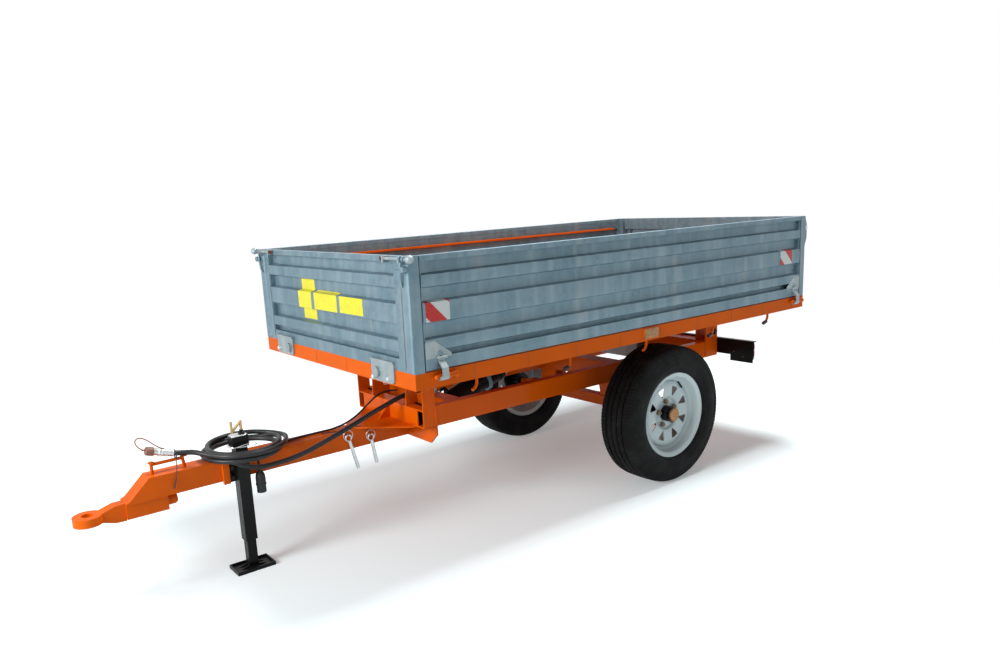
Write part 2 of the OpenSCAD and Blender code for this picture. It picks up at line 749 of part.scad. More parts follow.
// Bed frame: folded edge rail all round, with the rope hooks
module bed_frame() {
  y = bed_w / 2;
  color(orange) framed() {
    difference() {
      block([bed_x0, -y, rail_z0], [bed_x1, y, rail_z1]);
      block([bed_x0 + rail_d, -y + rail_d, rail_z0 - 1], [bed_x1 - rail_d, y - rail_d, rail_z1 + 1]);
      difference() {
        block([bed_x0 + rail_t, -y + rail_t, rail_z0 + rail_t], [bed_x1 - rail_t, y - rail_t, rail_z1 - rail_t]);
        block([bed_x0 + rail_d - rail_t, -y + rail_d - rail_t, rail_z0],
          [bed_x1 - rail_d + rail_t, y - rail_d + rail_t, rail_z1]);
      }
    }
    both_sides() {
      for (s = HOOKS) translate([bed_x1 - s * bed_l, y - 18, rail_z0]) rope_hook();
      for (x = latch_xs) translate([x, y, latch_z]) latch_bar();
      translate([bed_x0, latch_y, latch_z]) rotate([0, 0, 90]) latch_bar();
    }
  }
}

// Latch bar: round bar along the rail, carried at its rear end by a rounded ear
module latch_bar() {
  x0 = 10 - latch_l;
  x1 = latch_l / 2 - 5;
  rod([x0, latch_out, 0], [x1, latch_out, 0], latch_d);
  translate([x1, latch_out, 0]) sphere(d = latch_d, $fn = fine);
  bar_x([x0 + 9, latch_out - 1, 0], latch_d + 5, 18);
  block([x0, -bite, -latch_d / 2], [x0 + 18, latch_out, latch_d / 2]);
}

// Rope hook: round bar under the edge rail, bent forward
module rope_hook() {
  drop = 14;
  bar_z([0, 0, -drop], hook_d, drop + bite);
  translate([hook_r, 0, -drop]) rotate([90, 0, 0]) rotate([0, 0, 180])
    rotate_extrude(angle = 75, $fn = 48) translate([hook_r, 0]) circle(d = hook_d, $fn = 24);
}

// Bed bearers: cross channels under the floor and the two long members below them
module bed_bearers() {
  y = bed_w / 2 - rail_d;
  first = bed_x1 - 7 - bearer_pitch;
  n = floor((first - bearer_w / 2 - longeron_x0) / bearer_pitch);
  color(orange) framed() {
    for (i = [0:n]) translate([first - i * bearer_pitch, 0, 0]) difference() {
      block([-bearer_w / 2, -y, bearer_z0], [bearer_w / 2, y, floor_z0]);
      block([4 - bearer_w / 2, -y - 1, bearer_z0 - 1], [bearer_w / 2 - 4, y + 1, floor_z0 - 4]);
    }
    both_sides() tube_x([longeron_x0, longeron_y - longeron_w / 2, longeron_z0],
      [longeron_x1, longeron_y + longeron_w / 2, bearer_z0 + bite], 4);
  }
}

// Bed floor: one sheet inside the edge rail
module bed_floor() {
  y = bed_w / 2 - rail_d - seat;
  color(orange) framed()
    block([bed_x0 + rail_d + seat, -y, floor_z0], [bed_x1 - rail_d - seat, y, rail_z1]);
}

// Bed bolster: galvanised cross channel that rides over the axle crossmember
module bed_bolster() {
  w = bolster_w / 2;
  l = bolster_l / 2;
  color(zinc) framed() difference() {
    block([-w, -l, bolster_z0], [w, l, longeron_z0]);
    block([4 - w, -l - 1, bolster_z0 - 1], [w - 4, l + 1, longeron_z0 - 4]);
  }
}

// Push bracket: two cheeks under the bed that hold the rod eye's pin ends
module push_bracket() {
  z1 = bearer_z0 - 6;
  l = longeron_y - longeron_w / 2;
  color(zinc) framed() {
    both_sides() {
      difference() {
        plate_xz(30, 38, [
          [push_x - 55, z1 + bite], [push_x - 34, push_z - 26], [push_x + 28, push_z - 26],
          [push_x + 60, z1 + bite]
        ]);
        bar_y([push_x, 34, push_z], 25, 20);
        bar_y([push_x + 22, 34, z1 - 28], 14, 20);
      }
      bar_y([push_x, 43.5, push_z], 34, 13);
    }
    block([push_x - push_plate_l / 2, -l, z1], [push_x + push_plate_l / 2, l, bearer_z0]);
  }
}

// Pivot blocks: hinge barrels at the rear, open saddles at the front
module pivot_blocks() {
  side = 6;
  y1 = beam_y - stand_t - side;
  front_y0 = y1 - front_gap + 2 * side;
  rear_y0 = y1 - rear_gap + 2 * side;
  r = pivot_d / 2;
  clear_z = pivot_z + r + 14;
  color(orange) framed() both_sides() {
    difference() {
      union() {
        bar_y([rear_pivot_x, (rear_y0 + y1) / 2, pivot_z], pivot_d + 22, y1 - rear_y0);
        block([rear_pivot_x - 20, rear_y0, pivot_z], [rear_pivot_x + 20, y1, longeron_z0]);
        block([rear_pivot_x - 20, longeron_y - longeron_w / 2, clear_z], [rear_pivot_x + 20, y1, longeron_z0]);
      }
      bar_y([rear_pivot_x, (rear_y0 + y1) / 2, pivot_z], pivot_d + 2 * running, y1 - rear_y0 + 2);
    }
    difference() {
      block([front_pivot_x - 26, front_y0, pivot_z - 4], [front_pivot_x + 26, y1, longeron_z0]);
      bar_y([front_pivot_x, (front_y0 + y1) / 2, pivot_z], pivot_d + 2, y1 - front_y0 + 2);
      block([front_pivot_x - r - 1, front_y0 - 1, pivot_z - 5], [front_pivot_x + r + 1, y1 + 1, pivot_z]);
    }
  }
}

// Shares of a board's height, from the bottom: foot rail, three ribs, head rail
foot_rail = 0.11;
head_rail = 0.95;
RIBS = [[0.17, 0.27], [0.42, 0.59], [0.73, 0.83]];

// Section of the pressed sheet between the two rails, as depth and height
function sheet_face(h, d, t, s) = concat(
  [[-d, foot_rail * h - bite]],
  [for (r = RIBS) each [
    [-d, r[0] * h - 6 + s], [0 - t, r[0] * h + s], [0 - t, r[1] * h - s], [-d, r[1] * h + 6 - s]
  ]],
  [[-d, head_rail * h + bite]]
);

// A board of length l and height h along X, its outer face at Y = 0, standing at Z = 0
module board(l, h) {
  t = sheet_t;
  d = rib_d;
  foot = foot_rail * h;
  head = head_rail * h;
  outer = sheet_face(h, d, 0, 0);
  inner = [for (p = sheet_face(h, d, t, t)) [p.x == -t ? p.x : p.x - t, p.y]];
  n = len(inner);
  rotate([90, 0, 90]) linear_extrude(l)
    polygon(concat(outer, [for (i = [n - 1:-1:0]) inner[i]]));
  difference() {
    block([0, -board_t, 0], [l, 0, foot]);
    block([stile_w, -board_t + t, t], [l - stile_w, -t, foot - t]);
  }
  difference() {
    block([0, -board_t, head], [l, 0, h]);
    block([stile_w, -board_t + t, head + t], [l - stile_w, -t, h - t]);
  }
  for (x = [0, l - stile_w]) difference() {
    block([x, -board_t, foot - bite], [x + stile_w, 0, head + bite]);
    block([x + 3, -board_t - 1, foot + 8], [x + stile_w - 3, -3, head - 8]);
  }
}

// A hinged board: hang pins at the ends of its head rail and gussets at its foot
module hung_board(l, h) {
  foot = foot_rail * h - bite;
  g = gusset_l;
  board(l, h);
  for (x = [0, l])
    bar_x([x, -board_t / 2, h - hang_drop], hang_pin_d, 2 * hang_pin_l);
  plate_xz(-4, 0, [[0, foot], [g, foot], [g, foot + 12], [g / 2, gusset_h], [0, gusset_h]]);
  plate_xz(-4, 0, [[l, foot], [l - g, foot], [l - g, foot + 12], [l - g / 2, gusset_h], [l, gusset_h]]);
}

// A bore for a hang pin, along X, centred on a point
module hang_bore(p) {
  bar_x(p, hang_pin_d + 2 * running, 2 * hang_pin_l + 8);
}

// Front board, bolted between the front posts
module front_board() {
  l = bed_w - 2 * post_w;
  color(zinc) framed() translate([bed_x1, l / 2, rail_z1 + seat]) rotate([0, 0, -90]) board(l, board_h - seat);
}

// Corner posts: folded uprights at the four corners
module corner_posts() {
  y = bed_w / 2;
  color(zinc) framed() both_sides() {
    difference() {
      block([bed_x1 - front_post_w, y - post_w + seat, rail_z1 + seat], [bed_x1, y, board_z1]);
      block([bed_x1 - front_post_w + 3, y - post_w + 4, rail_z1 + 4], [bed_x1 - 4, y - 4, board_z1 - 4]);
      hang_bore([bed_x1 - front_post_w, y - board_t / 2, hang_z]);
    }
    difference() {
      block([bed_x0, y - post_w, rail_z1 + seat], [bed_x0 + rear_post_w, y, board_z1]);
      block([bed_x0 + 4, y - post_w + 4, rail_z1 + 4], [bed_x0 + rear_post_w - 4, y - 4, board_z1 - 4]);
      hang_bore([bed_x0 + rear_post_w, y - board_t / 2, hang_z]);
      bar_y([bed_x0 + board_t / 2, y - post_w, hang_z], hang_pin_d + 2 * running, 2 * hang_pin_l + 8);
    }
    plate_xz(y - 14, y - 6, [
      [bed_x0 + bite, board_z1 - 2], [bed_x0 - 10, board_z1 - 6], [bed_x0 - rear_reach, board_z1 - 46],
      [bed_x0 - rear_reach, board_z1 - 112], [bed_x0 - 10, board_z1 - 150], [bed_x0 + bite, board_z1 - 158]
    ]);
  }
}

// Side board, hung from its head rail
module side_board() {
  x0 = bed_x0 + rear_post_w + board_gap;
  l = bed_l - rear_post_w - front_post_w - 2 * board_gap;
  color(zinc) translate([x0, bed_w / 2, rail_z1 + board_gap]) hung_board(l, board_h - board_gap);
}

module side_board_left() { framed() side_board(); }
module side_board_right() { framed() mirror([0, 1, 0]) side_board(); }

// Tailgate, hung from its head rail between the rear posts
module tailgate() {
  l = bed_w - 2 * (post_w + board_gap);
  color(zinc) framed() translate([bed_x0, -l / 2, rail_z1 + board_gap]) rotate([0, 0, 90]) hung_board(l, board_h - board_gap);
}

// Front brackets: plates with rounded lower corners that tie the front board to the rail
module front_brackets() {
  r = 20;
  h = bracket_h;
  w = bracket_w;
  color(zinc) framed() both_sides() {
    translate([bed_x1, bracket_y - w / 2, rail_z0 + 6]) rotate([90, 0, 90]) linear_extrude(8) {
      translate([r, 0]) square([w - 2 * r, h]);
      translate([0, r]) square([w, h - r]);
      translate([r, r]) circle(r = r, $fn = fine);
      translate([w - r, r]) circle(r = r, $fn = fine);
    }
    bar_x([bed_x1 + 12, bracket_y - w / 4, rail_z0 + latch_up], 40, 10);
    block([bed_x1 + 7, bracket_y - w / 2, rail_z0 + h], [bed_x1 + 13, bracket_y + w / 2, rail_z0 + h + 6]);
  }
}

// One latch strap, its outer face towards +Y: a plate on the board with a cup outside the bar,
// which has its middle at the origin
module latch_strap() {
  r = latch_d / 2 + latch_play;
  t = latch_wall;
  w = strap_w / 2;
  foot = rail_z1 - latch_z;
  plate_yz(-w, w, [
    [r, -2], [r + t, -2], [r + t, foot + 12], [t - latch_out, foot + 36],
    [t - latch_out, foot + strap_rise], [-latch_out, foot + strap_rise], [-latch_out, foot + 30],
    [r, foot + 8]
  ]);
  translate([10 - w * 2, 0, 0]) rotate([0, 90, 0]) rotate([0, 0, -10])
    rotate_extrude(angle = 110, $fn = fine) translate([r, 0]) square([t, 3 * w]);
  bar_x([0, t - latch_out + 2, foot + 46], 10, 2 * strap_w - 10);
}

module latches_left() {
  color(zinc) framed() for (x = latch_xs) translate([x, bed_w / 2 + latch_out, latch_z]) latch_strap();
}
module latches_right() {
  color(zinc) framed() mirror([0, 1, 0])
    for (x = latch_xs) translate([x, bed_w / 2 + latch_out, latch_z]) latch_strap();
}
module latches_tail() {
  color(zinc) framed() both_sides()
    translate([bed_x0 - latch_out, latch_y, latch_z]) rotate([0, 0, 90]) latch_strap();
}

// Corner levers: ball-ended rods in two ears across the front board's top corners
module corner_levers() {
  x = bed_x1 + 12;
  z = board_z1 - 8;
  y1 = bed_w / 2 + 27;
  color(zinc) framed() both_sides() {
    rod([x, y1 - lever_l - 8, z], [x, y1, z], lever_d);
    translate([x, y1, z]) sphere(d = ball_d, $fn = fine);
    for (y = [y1 - lever_l, y1 - 60])
      block([bed_x1, y - 5, z - 14], [x + 7, y + 5, z + 8]);
  }
}

// Side reflectors: amber lens on each side rail
module side_reflectors() {
  y = bed_w / 2;
  color(amber) framed() both_sides()
    block([147, y, rail_z0 + 10], [237, y + 6, rail_z0 + 53]);
}

// Locking pins for the front pivots, hung by their rings from pegs on the drawbar's side
module locking_pins() {
  h = drawbar_s / 2;
  color(zinc) framed() for (k = LOCKS) translate([chassis_front + k.x, h + 10, beam_z0 - k.y]) {
    rotate([0, k.z, 0]) translate([0, 0, -k[3] - 11]) cylinder(d = lock_d, h = k[3], $fn = fine);
    rotate([90, 0, 0]) rotate_extrude($fn = 48) translate([13, 0]) circle(d = 6, $fn = 24);
    bar_y([0, 0, 13], 5, 20);
  }
}

// Hose port: steel elbow on the cylinder crossmember
module hose_port() {
  x = base_x + 62;
  y = hose_run_pts[0].y;
  color(zinc) framed() {
    bar_z([x, y, beam_z1], 26, 10);
    rod([x, y, beam_z1 + 9], [x, y, beam_z1 + 24], 18);
    rod([x, y, beam_z1 + 16], [x + 24, y, beam_z1 + 17], 16);
  }
}

// Hydraulic hose: the run from the port to the coil, the coil and the tail
module hose_run() { color(rubber) framed() sweep(hose_run_pts, hose_d, 12); }
module hose_tail() { color(rubber) framed() sweep(hose_tail_pts, hose_d, 12); }
module hose_coil() {
  color(rubber) framed() translate([hose_coil_c.x, hose_coil_c.y, beam_z0 + cable_d + 2])
    rotate_extrude($fn = fine) translate([hose_coil_r - hose_d, 0]) square([2 * hose_d, hose_coil_h]);
}

// Hose coupling: crimped ferrule, nut and dust cap
module hose_coupling() {
  color(zinc) framed() translate(hose_tail_pts[len(hose_tail_pts) - 1]) rotate([0, 80, 0]) {
    cylinder(d = hose_d + 7, h = 45, $fn = fine);
    translate([0, 0, 44]) cylinder(d = hose_d + 11, h = 19, $fn = 6);
    translate([0, 0, 62]) cylinder(d = hose_d + 15, h = 34, $fn = fine);
  }
}

// Electric cable and its seven-pin plug, hung beside the drawbar
module cable_run() { color(black) framed() sweep(cable_pts, cable_d, 8); }
module cable_plug() {
  color(black) framed() translate(cable_pts[len(cable_pts) - 1]) rotate([180, 0, 0]) {
    cylinder(d1 = 2 * cable_d, d2 = 3 * cable_d, h = 19, $fn = fine);
    translate([0, 0, 18]) cylinder(d = 5 * cable_d, h = plug_l, $fn = fine);
  }
}

tow_eye();
drawbar();
jack_bracket();
jack_tube();
jack_leg();
jack_crank();
front_crossmember();
chassis_beams();
crossmembers();
pivot_stands();
axle_beam();
axle_brackets();
hub_left();
hub_right();
wheel_left();
wheel_right();
tyre_left();
tyre_right();
light_board();
rear_lamps();
cylinder_barrel();
cylinder_stage_1();
cylinder_stage_2();
cylinder_rod();
bed_frame();
bed_bearers();
bed_floor();
bed_bolster();
push_bracket();
pivot_blocks();
front_board();
corner_posts();
side_board_left();
side_board_right();
tailgate();
front_brackets();
latches_left();
latches_right();
latches_tail();
corner_levers();
side_reflectors();
locking_pins();
hose_port();
hose_run();
hose_coil();
hose_tail();
hose_coupling();
cable_run();
cable_plug();
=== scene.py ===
"""Dress the parked single-axle dump trailer and set it in a pale studio.

Every length is in metres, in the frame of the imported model. Places along the trailer are counted
from the axle, as in the part's own drawing, and Layout carries them into the model's frame.
"""

from __future__ import annotations

import logging
import math
from dataclasses import dataclass, field
from enum import Enum
from typing import Callable, Iterable, Sequence

import bmesh
import bpy
from mathutils import Matrix, Vector


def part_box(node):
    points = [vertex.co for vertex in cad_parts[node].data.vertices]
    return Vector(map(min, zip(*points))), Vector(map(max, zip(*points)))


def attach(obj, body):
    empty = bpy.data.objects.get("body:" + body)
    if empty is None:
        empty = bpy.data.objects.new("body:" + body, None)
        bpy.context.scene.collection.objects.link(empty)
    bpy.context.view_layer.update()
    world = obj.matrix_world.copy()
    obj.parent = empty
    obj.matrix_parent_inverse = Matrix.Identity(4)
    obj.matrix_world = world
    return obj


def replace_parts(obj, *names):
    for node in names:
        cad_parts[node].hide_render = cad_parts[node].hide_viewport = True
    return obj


Point = tuple[float, float, float]
Colour = tuple[float, float, float]
Face = tuple[int, ...]
Point2 = tuple[float, float]

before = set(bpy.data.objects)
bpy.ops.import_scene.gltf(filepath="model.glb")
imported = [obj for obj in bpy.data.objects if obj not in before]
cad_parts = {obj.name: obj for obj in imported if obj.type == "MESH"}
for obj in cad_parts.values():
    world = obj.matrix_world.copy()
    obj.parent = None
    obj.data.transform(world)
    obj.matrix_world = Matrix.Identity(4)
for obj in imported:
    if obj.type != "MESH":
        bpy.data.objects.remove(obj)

LOG = logging.getLogger("trailer")
FRAME_PIXELS = (1000.0, 668.0)


class Side(Enum):
    """The two sides of the trailer, as the sign of Y."""

    LEFT = 1
    RIGHT = -1

    @property
    def word(self) -> str:
        """Name the side for piece names and bodies."""
        return self.name.lower()


class Shader:
    """One procedural material under construction, with a principled shader at its end."""

    def __init__(self, name: str) -> None:
        """Start an empty material.

        Args:
            name: The material's name.
        """
        self.material = bpy.data.materials.new(name)
        self.material.use_nodes = True
        self.tree = self.material.node_tree
        self.tree.nodes.clear()
        self.output = self.tree.nodes.new("ShaderNodeOutputMaterial")
        self.surface = self.tree.nodes.new("ShaderNodeBsdfPrincipled")
        self.tree.links.new(self.surface.outputs["BSDF"], self.output.inputs["Surface"])
        self.place = self.tree.nodes.new("ShaderNodeTexCoord").outputs["Object"]

    def link(self, source: bpy.types.NodeSocket, target: bpy.types.NodeSocket) -> None:
        """Join two sockets."""
        self.tree.links.new(source, target)

    def constant(self, socket: str, value: float | Colour) -> None:
        """Set a shader socket that is the same all over the surface.

        Args:
            socket: The socket's name on the principled shader.
            value: A number, or a colour without alpha.
        """
        if isinstance(value, tuple):
            self.surface.inputs[socket].default_value = (*value, 1.0)
        else:
            self.surface.inputs[socket].default_value = value

    def stretched(self, scale: Point) -> bpy.types.NodeSocket:
        """Give the model's coordinates stretched by a factor along each axis.

        Args:
            scale: The factors along X, Y and Z.

        Returns:
            The vector socket.
        """
        node = self.tree.nodes.new("ShaderNodeMapping")
        node.inputs["Scale"].default_value = scale
        self.link(self.place, node.inputs["Vector"])
        return node.outputs["Vector"]

    def noise(self, scale: float, detail: float = 3.0,
              vector: bpy.types.NodeSocket | None = None) -> bpy.types.NodeSocket:
        """Add a noise pattern.

        Args:
            scale: Cells per metre.
            detail: How many finer layers it has.
            vector: Coordinates other than the model's own.

        Returns:
            The pattern's value socket.
        """
        node = self.tree.nodes.new("ShaderNodeTexNoise")
        node.inputs["Scale"].default_value = scale
        node.inputs["Detail"].default_value = detail
        self.link(vector or self.place, node.inputs["Vector"])
        return node.outputs["Fac"]

    def crystals(self, scale: float) -> bpy.types.NodeSocket:
        """Add crystal cells, each with one random value.

        Args:
            scale: Cells per metre.

        Returns:
            The value socket.
        """
        node = self.tree.nodes.new("ShaderNodeTexVoronoi")
        node.inputs["Scale"].default_value = scale
        self.link(self.place, node.inputs["Vector"])
        split = self.tree.nodes.new("ShaderNodeSeparateColor")
        self.link(node.outputs["Color"], split.inputs["Color"])
        return split.outputs["Red"]

    def between(self, value: bpy.types.NodeSocket, low: float, high: float,
                start: float = 0.0, end: float = 1.0) -> bpy.types.NodeSocket:
        """Carry a value from one range to another.

        Args:
            value: The value socket.
            low: The result at start.
            high: The result at end.
            start: Where the value's range begins.
            end: Where it ends.

        Returns:
            The new value socket.
        """
        node = self.tree.nodes.new("ShaderNodeMapRange")
        node.inputs["From Min"].default_value = start
        node.inputs["From Max"].default_value = end
        node.inputs["To Min"].default_value = low
        node.inputs["To Max"].default_value = high
        self.link(value, node.inputs["Value"])
        return node.outputs["Result"]

    def blend(self, value: bpy.types.NodeSocket, first: Colour | bpy.types.NodeSocket,
              second: Colour | bpy.types.NodeSocket) -> bpy.types.NodeSocket:
        """Mix two colours by a value.

        Args:
            value: 0 gives the first colour and 1 the second.
            first: A colour or a colour socket.
            second: A colour or a colour socket.

        Returns:
            The mixed colour socket.
        """
        node = self.tree.nodes.new("ShaderNodeMix")
        node.data_type = "RGBA"
        self.link(value, node.inputs[0])
        for socket, colour in ((node.inputs[6], first), (node.inputs[7], second)):
            if isinstance(colour, tuple):
                socket.default_value = (*colour, 1.0)
            else:
                self.link(colour, socket)
        return node.outputs[2]

    def sum_of(self, first: bpy.types.NodeSocket, second: bpy.types.NodeSocket,
               share: float) -> bpy.types.NodeSocket:
        """Add a share of one value to another.

        Args:
            first: The value that stays whole.
            second: The value that is added.
            share: How much of it is added.

        Returns:
            The sum's socket.
        """
        node = self.tree.nodes.new("ShaderNodeMath")
        node.operation = "MULTIPLY_ADD"
        self.link(second, node.inputs[0])
        node.inputs[1].default_value = share
        self.link(first, node.inputs[2])
        return node.outputs["Value"]

    def bands(self, direction: Point, period: float, start: float) -> bpy.types.NodeSocket:
        """Add slanting bands that cover half of each period.

        Args:
            direction: The way across the bands, each metre of it counted once.
            period: The length of one pair of bands.
            start: Where a covered band begins.

        Returns:
            A value socket, 0 on the covered bands and 1 between them.
        """
        dot = self.tree.nodes.new("ShaderNodeVectorMath")
        dot.operation = "DOT_PRODUCT"
        dot.inputs[1].default_value = direction
        self.link(self.place, dot.inputs[0])
        shift = self.tree.nodes.new("ShaderNodeMath")
        shift.operation = "SUBTRACT"
        shift.inputs[1].default_value = start
        self.link(dot.outputs["Value"], shift.inputs[0])
        wrap = self.tree.nodes.new("ShaderNodeMath")
        wrap.operation = "FLOORED_MODULO"
        wrap.inputs[1].default_value = period
        self.link(shift.outputs["Value"], wrap.inputs[0])
        over = self.tree.nodes.new("ShaderNodeMath")
        over.operation = "GREATER_THAN"
        over.inputs[1].default_value = period / 2.0
        self.link(wrap.outputs["Value"], over.inputs[0])
        return over.outputs["Value"]

    def relief(self, height: bpy.types.NodeSocket, depth: float, strength: float = 0.5) -> None:
        """Raise the surface by a pattern, as a bump.

        Args:
            height: The pattern's value socket.
            depth: The relief's height in metres.
            strength: How plainly it shows.
        """
        node = self.tree.nodes.new("ShaderNodeBump")
        node.inputs["Distance"].default_value = depth
        node.inputs["Strength"].default_value = strength
        self.link(height, node.inputs["Height"])
        self.link(node.outputs["Normal"], self.surface.inputs["Normal"])


@dataclass(frozen=True)
class Finish:
    """A finish that a piece can wear; each kind builds its own material."""

    name: str
    colour: Colour

    def material(self) -> bpy.types.Material:
        """Give the finish's material, made on first use."""
        label = f"{self.name}_finish"
        return bpy.data.materials.get(label) or self.build(Shader(label))

    def build(self, shader: Shader) -> bpy.types.Material:
        """Fill in the material.

        Args:
            shader: The empty material.

        Returns:
            The finished material.
        """
        raise NotImplementedError


@dataclass(frozen=True)
class PowderCoat(Finish):
    """Sprayed or powder-coated steel with orange peel, soft mottling and a little road dust."""

    roughness: float = 0.34
    mottle: float = 0.10
    peel: float = 0.00018
    dust: Colour = (0.55, 0.45, 0.36)
    dust_share: float = 0.12
    gloss: float = 0.40

    def build(self, shader: Shader) -> bpy.types.Material:
        """Fill in the painted material.

        Args:
            shader: The empty material.

        Returns:
            The finished material.
        """
        darker = tuple(c * (1.0 - self.mottle) for c in self.colour)
        broad = shader.between(shader.noise(5.0), 0.0, 1.0, 0.35, 0.65)
        paint = shader.blend(broad, darker, self.colour)
        dusty = shader.between(shader.noise(38.0, 6.0), 0.0, self.dust_share, 0.52, 0.72)
        shader.link(shader.blend(dusty, paint, self.dust), shader.surface.inputs["Base Color"])
        rough = shader.between(shader.noise(60.0, 4.0), self.roughness - 0.06, self.roughness + 0.10,
                               0.3, 0.7)
        shader.link(rough, shader.surface.inputs["Roughness"])
        shader.relief(shader.noise(420.0, 2.0), self.peel)
        shader.constant("Specular IOR Level", self.gloss)
        shader.constant("Coat Weight", 0.10)
        shader.constant("Coat Roughness", 0.12)
        return shader.material


@dataclass(frozen=True)
class Galvanised(Finish):
    """Hot-dip zinc: crystal spangle, cloudy patches, and pale runs down the sheet."""

    crystals_per_metre: float = 62.0
    pale: Colour = (0.64, 0.68, 0.70)
    stain: Colour = (0.46, 0.40, 0.35)
    run_stretch: Point = (24.0, 24.0, 1.6)

    def build(self, shader: Shader) -> bpy.types.Material:
        """Fill in the zinc material.

        Args:
            shader: The empty material.

        Returns:
            The finished material.
        """
        spangle = shader.crystals(self.crystals_per_metre)
        cloud = shader.noise(7.0, 5.0)
        runs = shader.noise(1.0, 5.0, shader.stretched(self.run_stretch))
        tone = shader.sum_of(shader.between(cloud, 0.05, 0.40, 0.3, 0.7), spangle, 0.28)
        zinc = shader.blend(tone, self.colour, self.pale)
        streak = shader.between(runs, 0.0, 0.70, 0.46, 0.74)
        zinc = shader.blend(streak, zinc, self.pale)
        stained = shader.between(shader.noise(1.0, 4.0, shader.stretched((9.0, 9.0, 2.6))),
                                 0.0, 0.26, 0.60, 0.80)
        zinc = shader.blend(stained, zinc, self.stain)
        shader.link(zinc, shader.surface.inputs["Base Color"])
        shader.link(shader.between(spangle, 0.40, 0.60), shader.surface.inputs["Roughness"])
        shader.relief(shader.sum_of(cloud, spangle, 0.35), 0.0004, 0.35)
        shader.constant("Metallic", 0.55)
        return shader.material


@dataclass(frozen=True)
class Plated(Finish):
    """Zinc-plated, polished or passivated steel with fine handling marks."""

    roughness: float = 0.28
    tint: Colour = (0.50, 0.50, 0.50)

    def build(self, shader: Shader) -> bpy.types.Material:
        """Fill in the plated material.

        Args:
            shader: The empty material.

        Returns:
            The finished material.
        """
        patch = shader.between(shader.noise(90.0, 4.0), 0.0, 0.5, 0.4, 0.7)
        shader.link(shader.blend(patch, self.colour, self.tint), shader.surface.inputs["Base Color"])
        rough = shader.between(shader.noise(240.0, 3.0), self.roughness - 0.07, self.roughness + 0.14)
        shader.link(rough, shader.surface.inputs["Roughness"])
        shader.relief(shader.noise(700.0, 2.0), 0.00006)
        shader.constant("Metallic", 0.9)
        return shader.material


@dataclass(frozen=True)
class Elastomer(Finish):
    """Rubber or moulded plastic with a fine grain and a faint bloom."""

    roughness: float = 0.62
    grain: float = 900.0
    bloom: Colour = (0.13, 0.13, 0.135)
    bloom_share: float = 0.35
    gloss: float = 0.35

    def build(self, shader: Shader) -> bpy.types.Material:
        """Fill in the rubber or plastic material.

        Args:
            shader: The empty material.

        Returns:
            The finished material.
        """
        patch = shader.between(shader.noise(14.0, 6.0), 0.0, self.bloom_share, 0.45, 0.75)
        shader.link(shader.blend(patch, self.colour, self.bloom), shader.surface.inputs["Base Color"])
        rough = shader.between(shader.noise(30.0, 3.0), self.roughness - 0.08, self.roughness + 0.12)
        shader.link(rough, shader.surface.inputs["Roughness"])
        shader.relief(shader.noise(self.grain, 2.0), 0.00012)
        shader.constant("Specular IOR Level", self.gloss)
        return shader.material


@dataclass(frozen=True)
class LampGlass(Finish):
    """Coloured moulded lens with small prisms behind a glossy face."""

    prisms: float = 140.0

    def build(self, shader: Shader) -> bpy.types.Material:
        """Fill in the lens material.

        Args:
            shader: The empty material.

        Returns:
            The finished material.
        """
        cells = shader.crystals(self.prisms)
        darker = tuple(c * 0.6 for c in self.colour)
        shader.link(shader.blend(cells, darker, self.colour), shader.surface.inputs["Base Color"])
        shader.link(shader.between(cells, 0.10, 0.22), shader.surface.inputs["Roughness"])
        shader.relief(cells, 0.0003, 0.3)
        shader.constant("Coat Weight", 0.6)
        shader.constant("Coat Roughness", 0.05)
        return shader.material


@dataclass(frozen=True)
class WarningTape(Finish):
    """Reflective tape with slanting red and white bands."""

    white: Colour = (0.62, 0.64, 0.63)
    period: float = 0.140
    start: float = 0.0

    def build(self, shader: Shader) -> bpy.types.Material:
        """Fill in the banded material.

        Args:
            shader: The empty material.

        Returns:
            The finished material.
        """
        band = shader.bands((-1.0, 0.0, 1.0), self.period, self.start)
        shader.link(shader.blend(band, self.colour, self.white), shader.surface.inputs["Base Color"])
        cells = shader.crystals(420.0)
        shader.link(shader.between(cells, 0.24, 0.40), shader.surface.inputs["Roughness"])
        shader.relief(cells, 0.00008, 0.4)
        return shader.material


@dataclass(frozen=True)
class Vinyl(Finish):
    """A plain self-adhesive label with slight creases."""

    def build(self, shader: Shader) -> bpy.types.Material:
        """Fill in the label's material.

        Args:
            shader: The empty material.

        Returns:
            The finished material.
        """
        faded = tuple(c * 0.86 for c in self.colour)
        patch = shader.between(shader.noise(26.0, 4.0), 0.0, 1.0, 0.35, 0.65)
        shader.link(shader.blend(patch, faded, self.colour), shader.surface.inputs["Base Color"])
        shader.constant("Roughness", 0.36)
        shader.relief(shader.noise(60.0, 3.0), 0.0004, 0.4)
        return shader.material


ORANGE = PowderCoat("orange_paint", (0.690, 0.104, 0.001), dust=(0.40, 0.17, 0.05), dust_share=0.05,
                    gloss=0.03)
BED_ORANGE = PowderCoat("orange_floor_paint", (0.52, 0.110, 0.020), roughness=0.6, dust_share=0.40,
                        dust=(0.34, 0.26, 0.23))
WHITE = PowderCoat("white_paint", (0.52, 0.59, 0.60), mottle=0.06, dust_share=0.10)
BLACK = PowderCoat("black_paint", (0.007, 0.0065, 0.0065), roughness=0.34, dust=(0.10, 0.09, 0.085),
                   dust_share=0.05, gloss=0.08)
ZINC = Galvanised("galvanised", (0.100, 0.180, 0.228), pale=(0.25, 0.335, 0.38))
RUST_ZINC = Galvanised("stained_galvanised", (0.17, 0.125, 0.105), pale=(0.30, 0.24, 0.21))
DULL_ZINC = Galvanised("dull_zinc", (0.20, 0.180, 0.170), pale=(0.33, 0.31, 0.30))
PALE_ZINC = Galvanised("pale_zinc", (0.235, 0.29, 0.305), pale=(0.42, 0.475, 0.49))
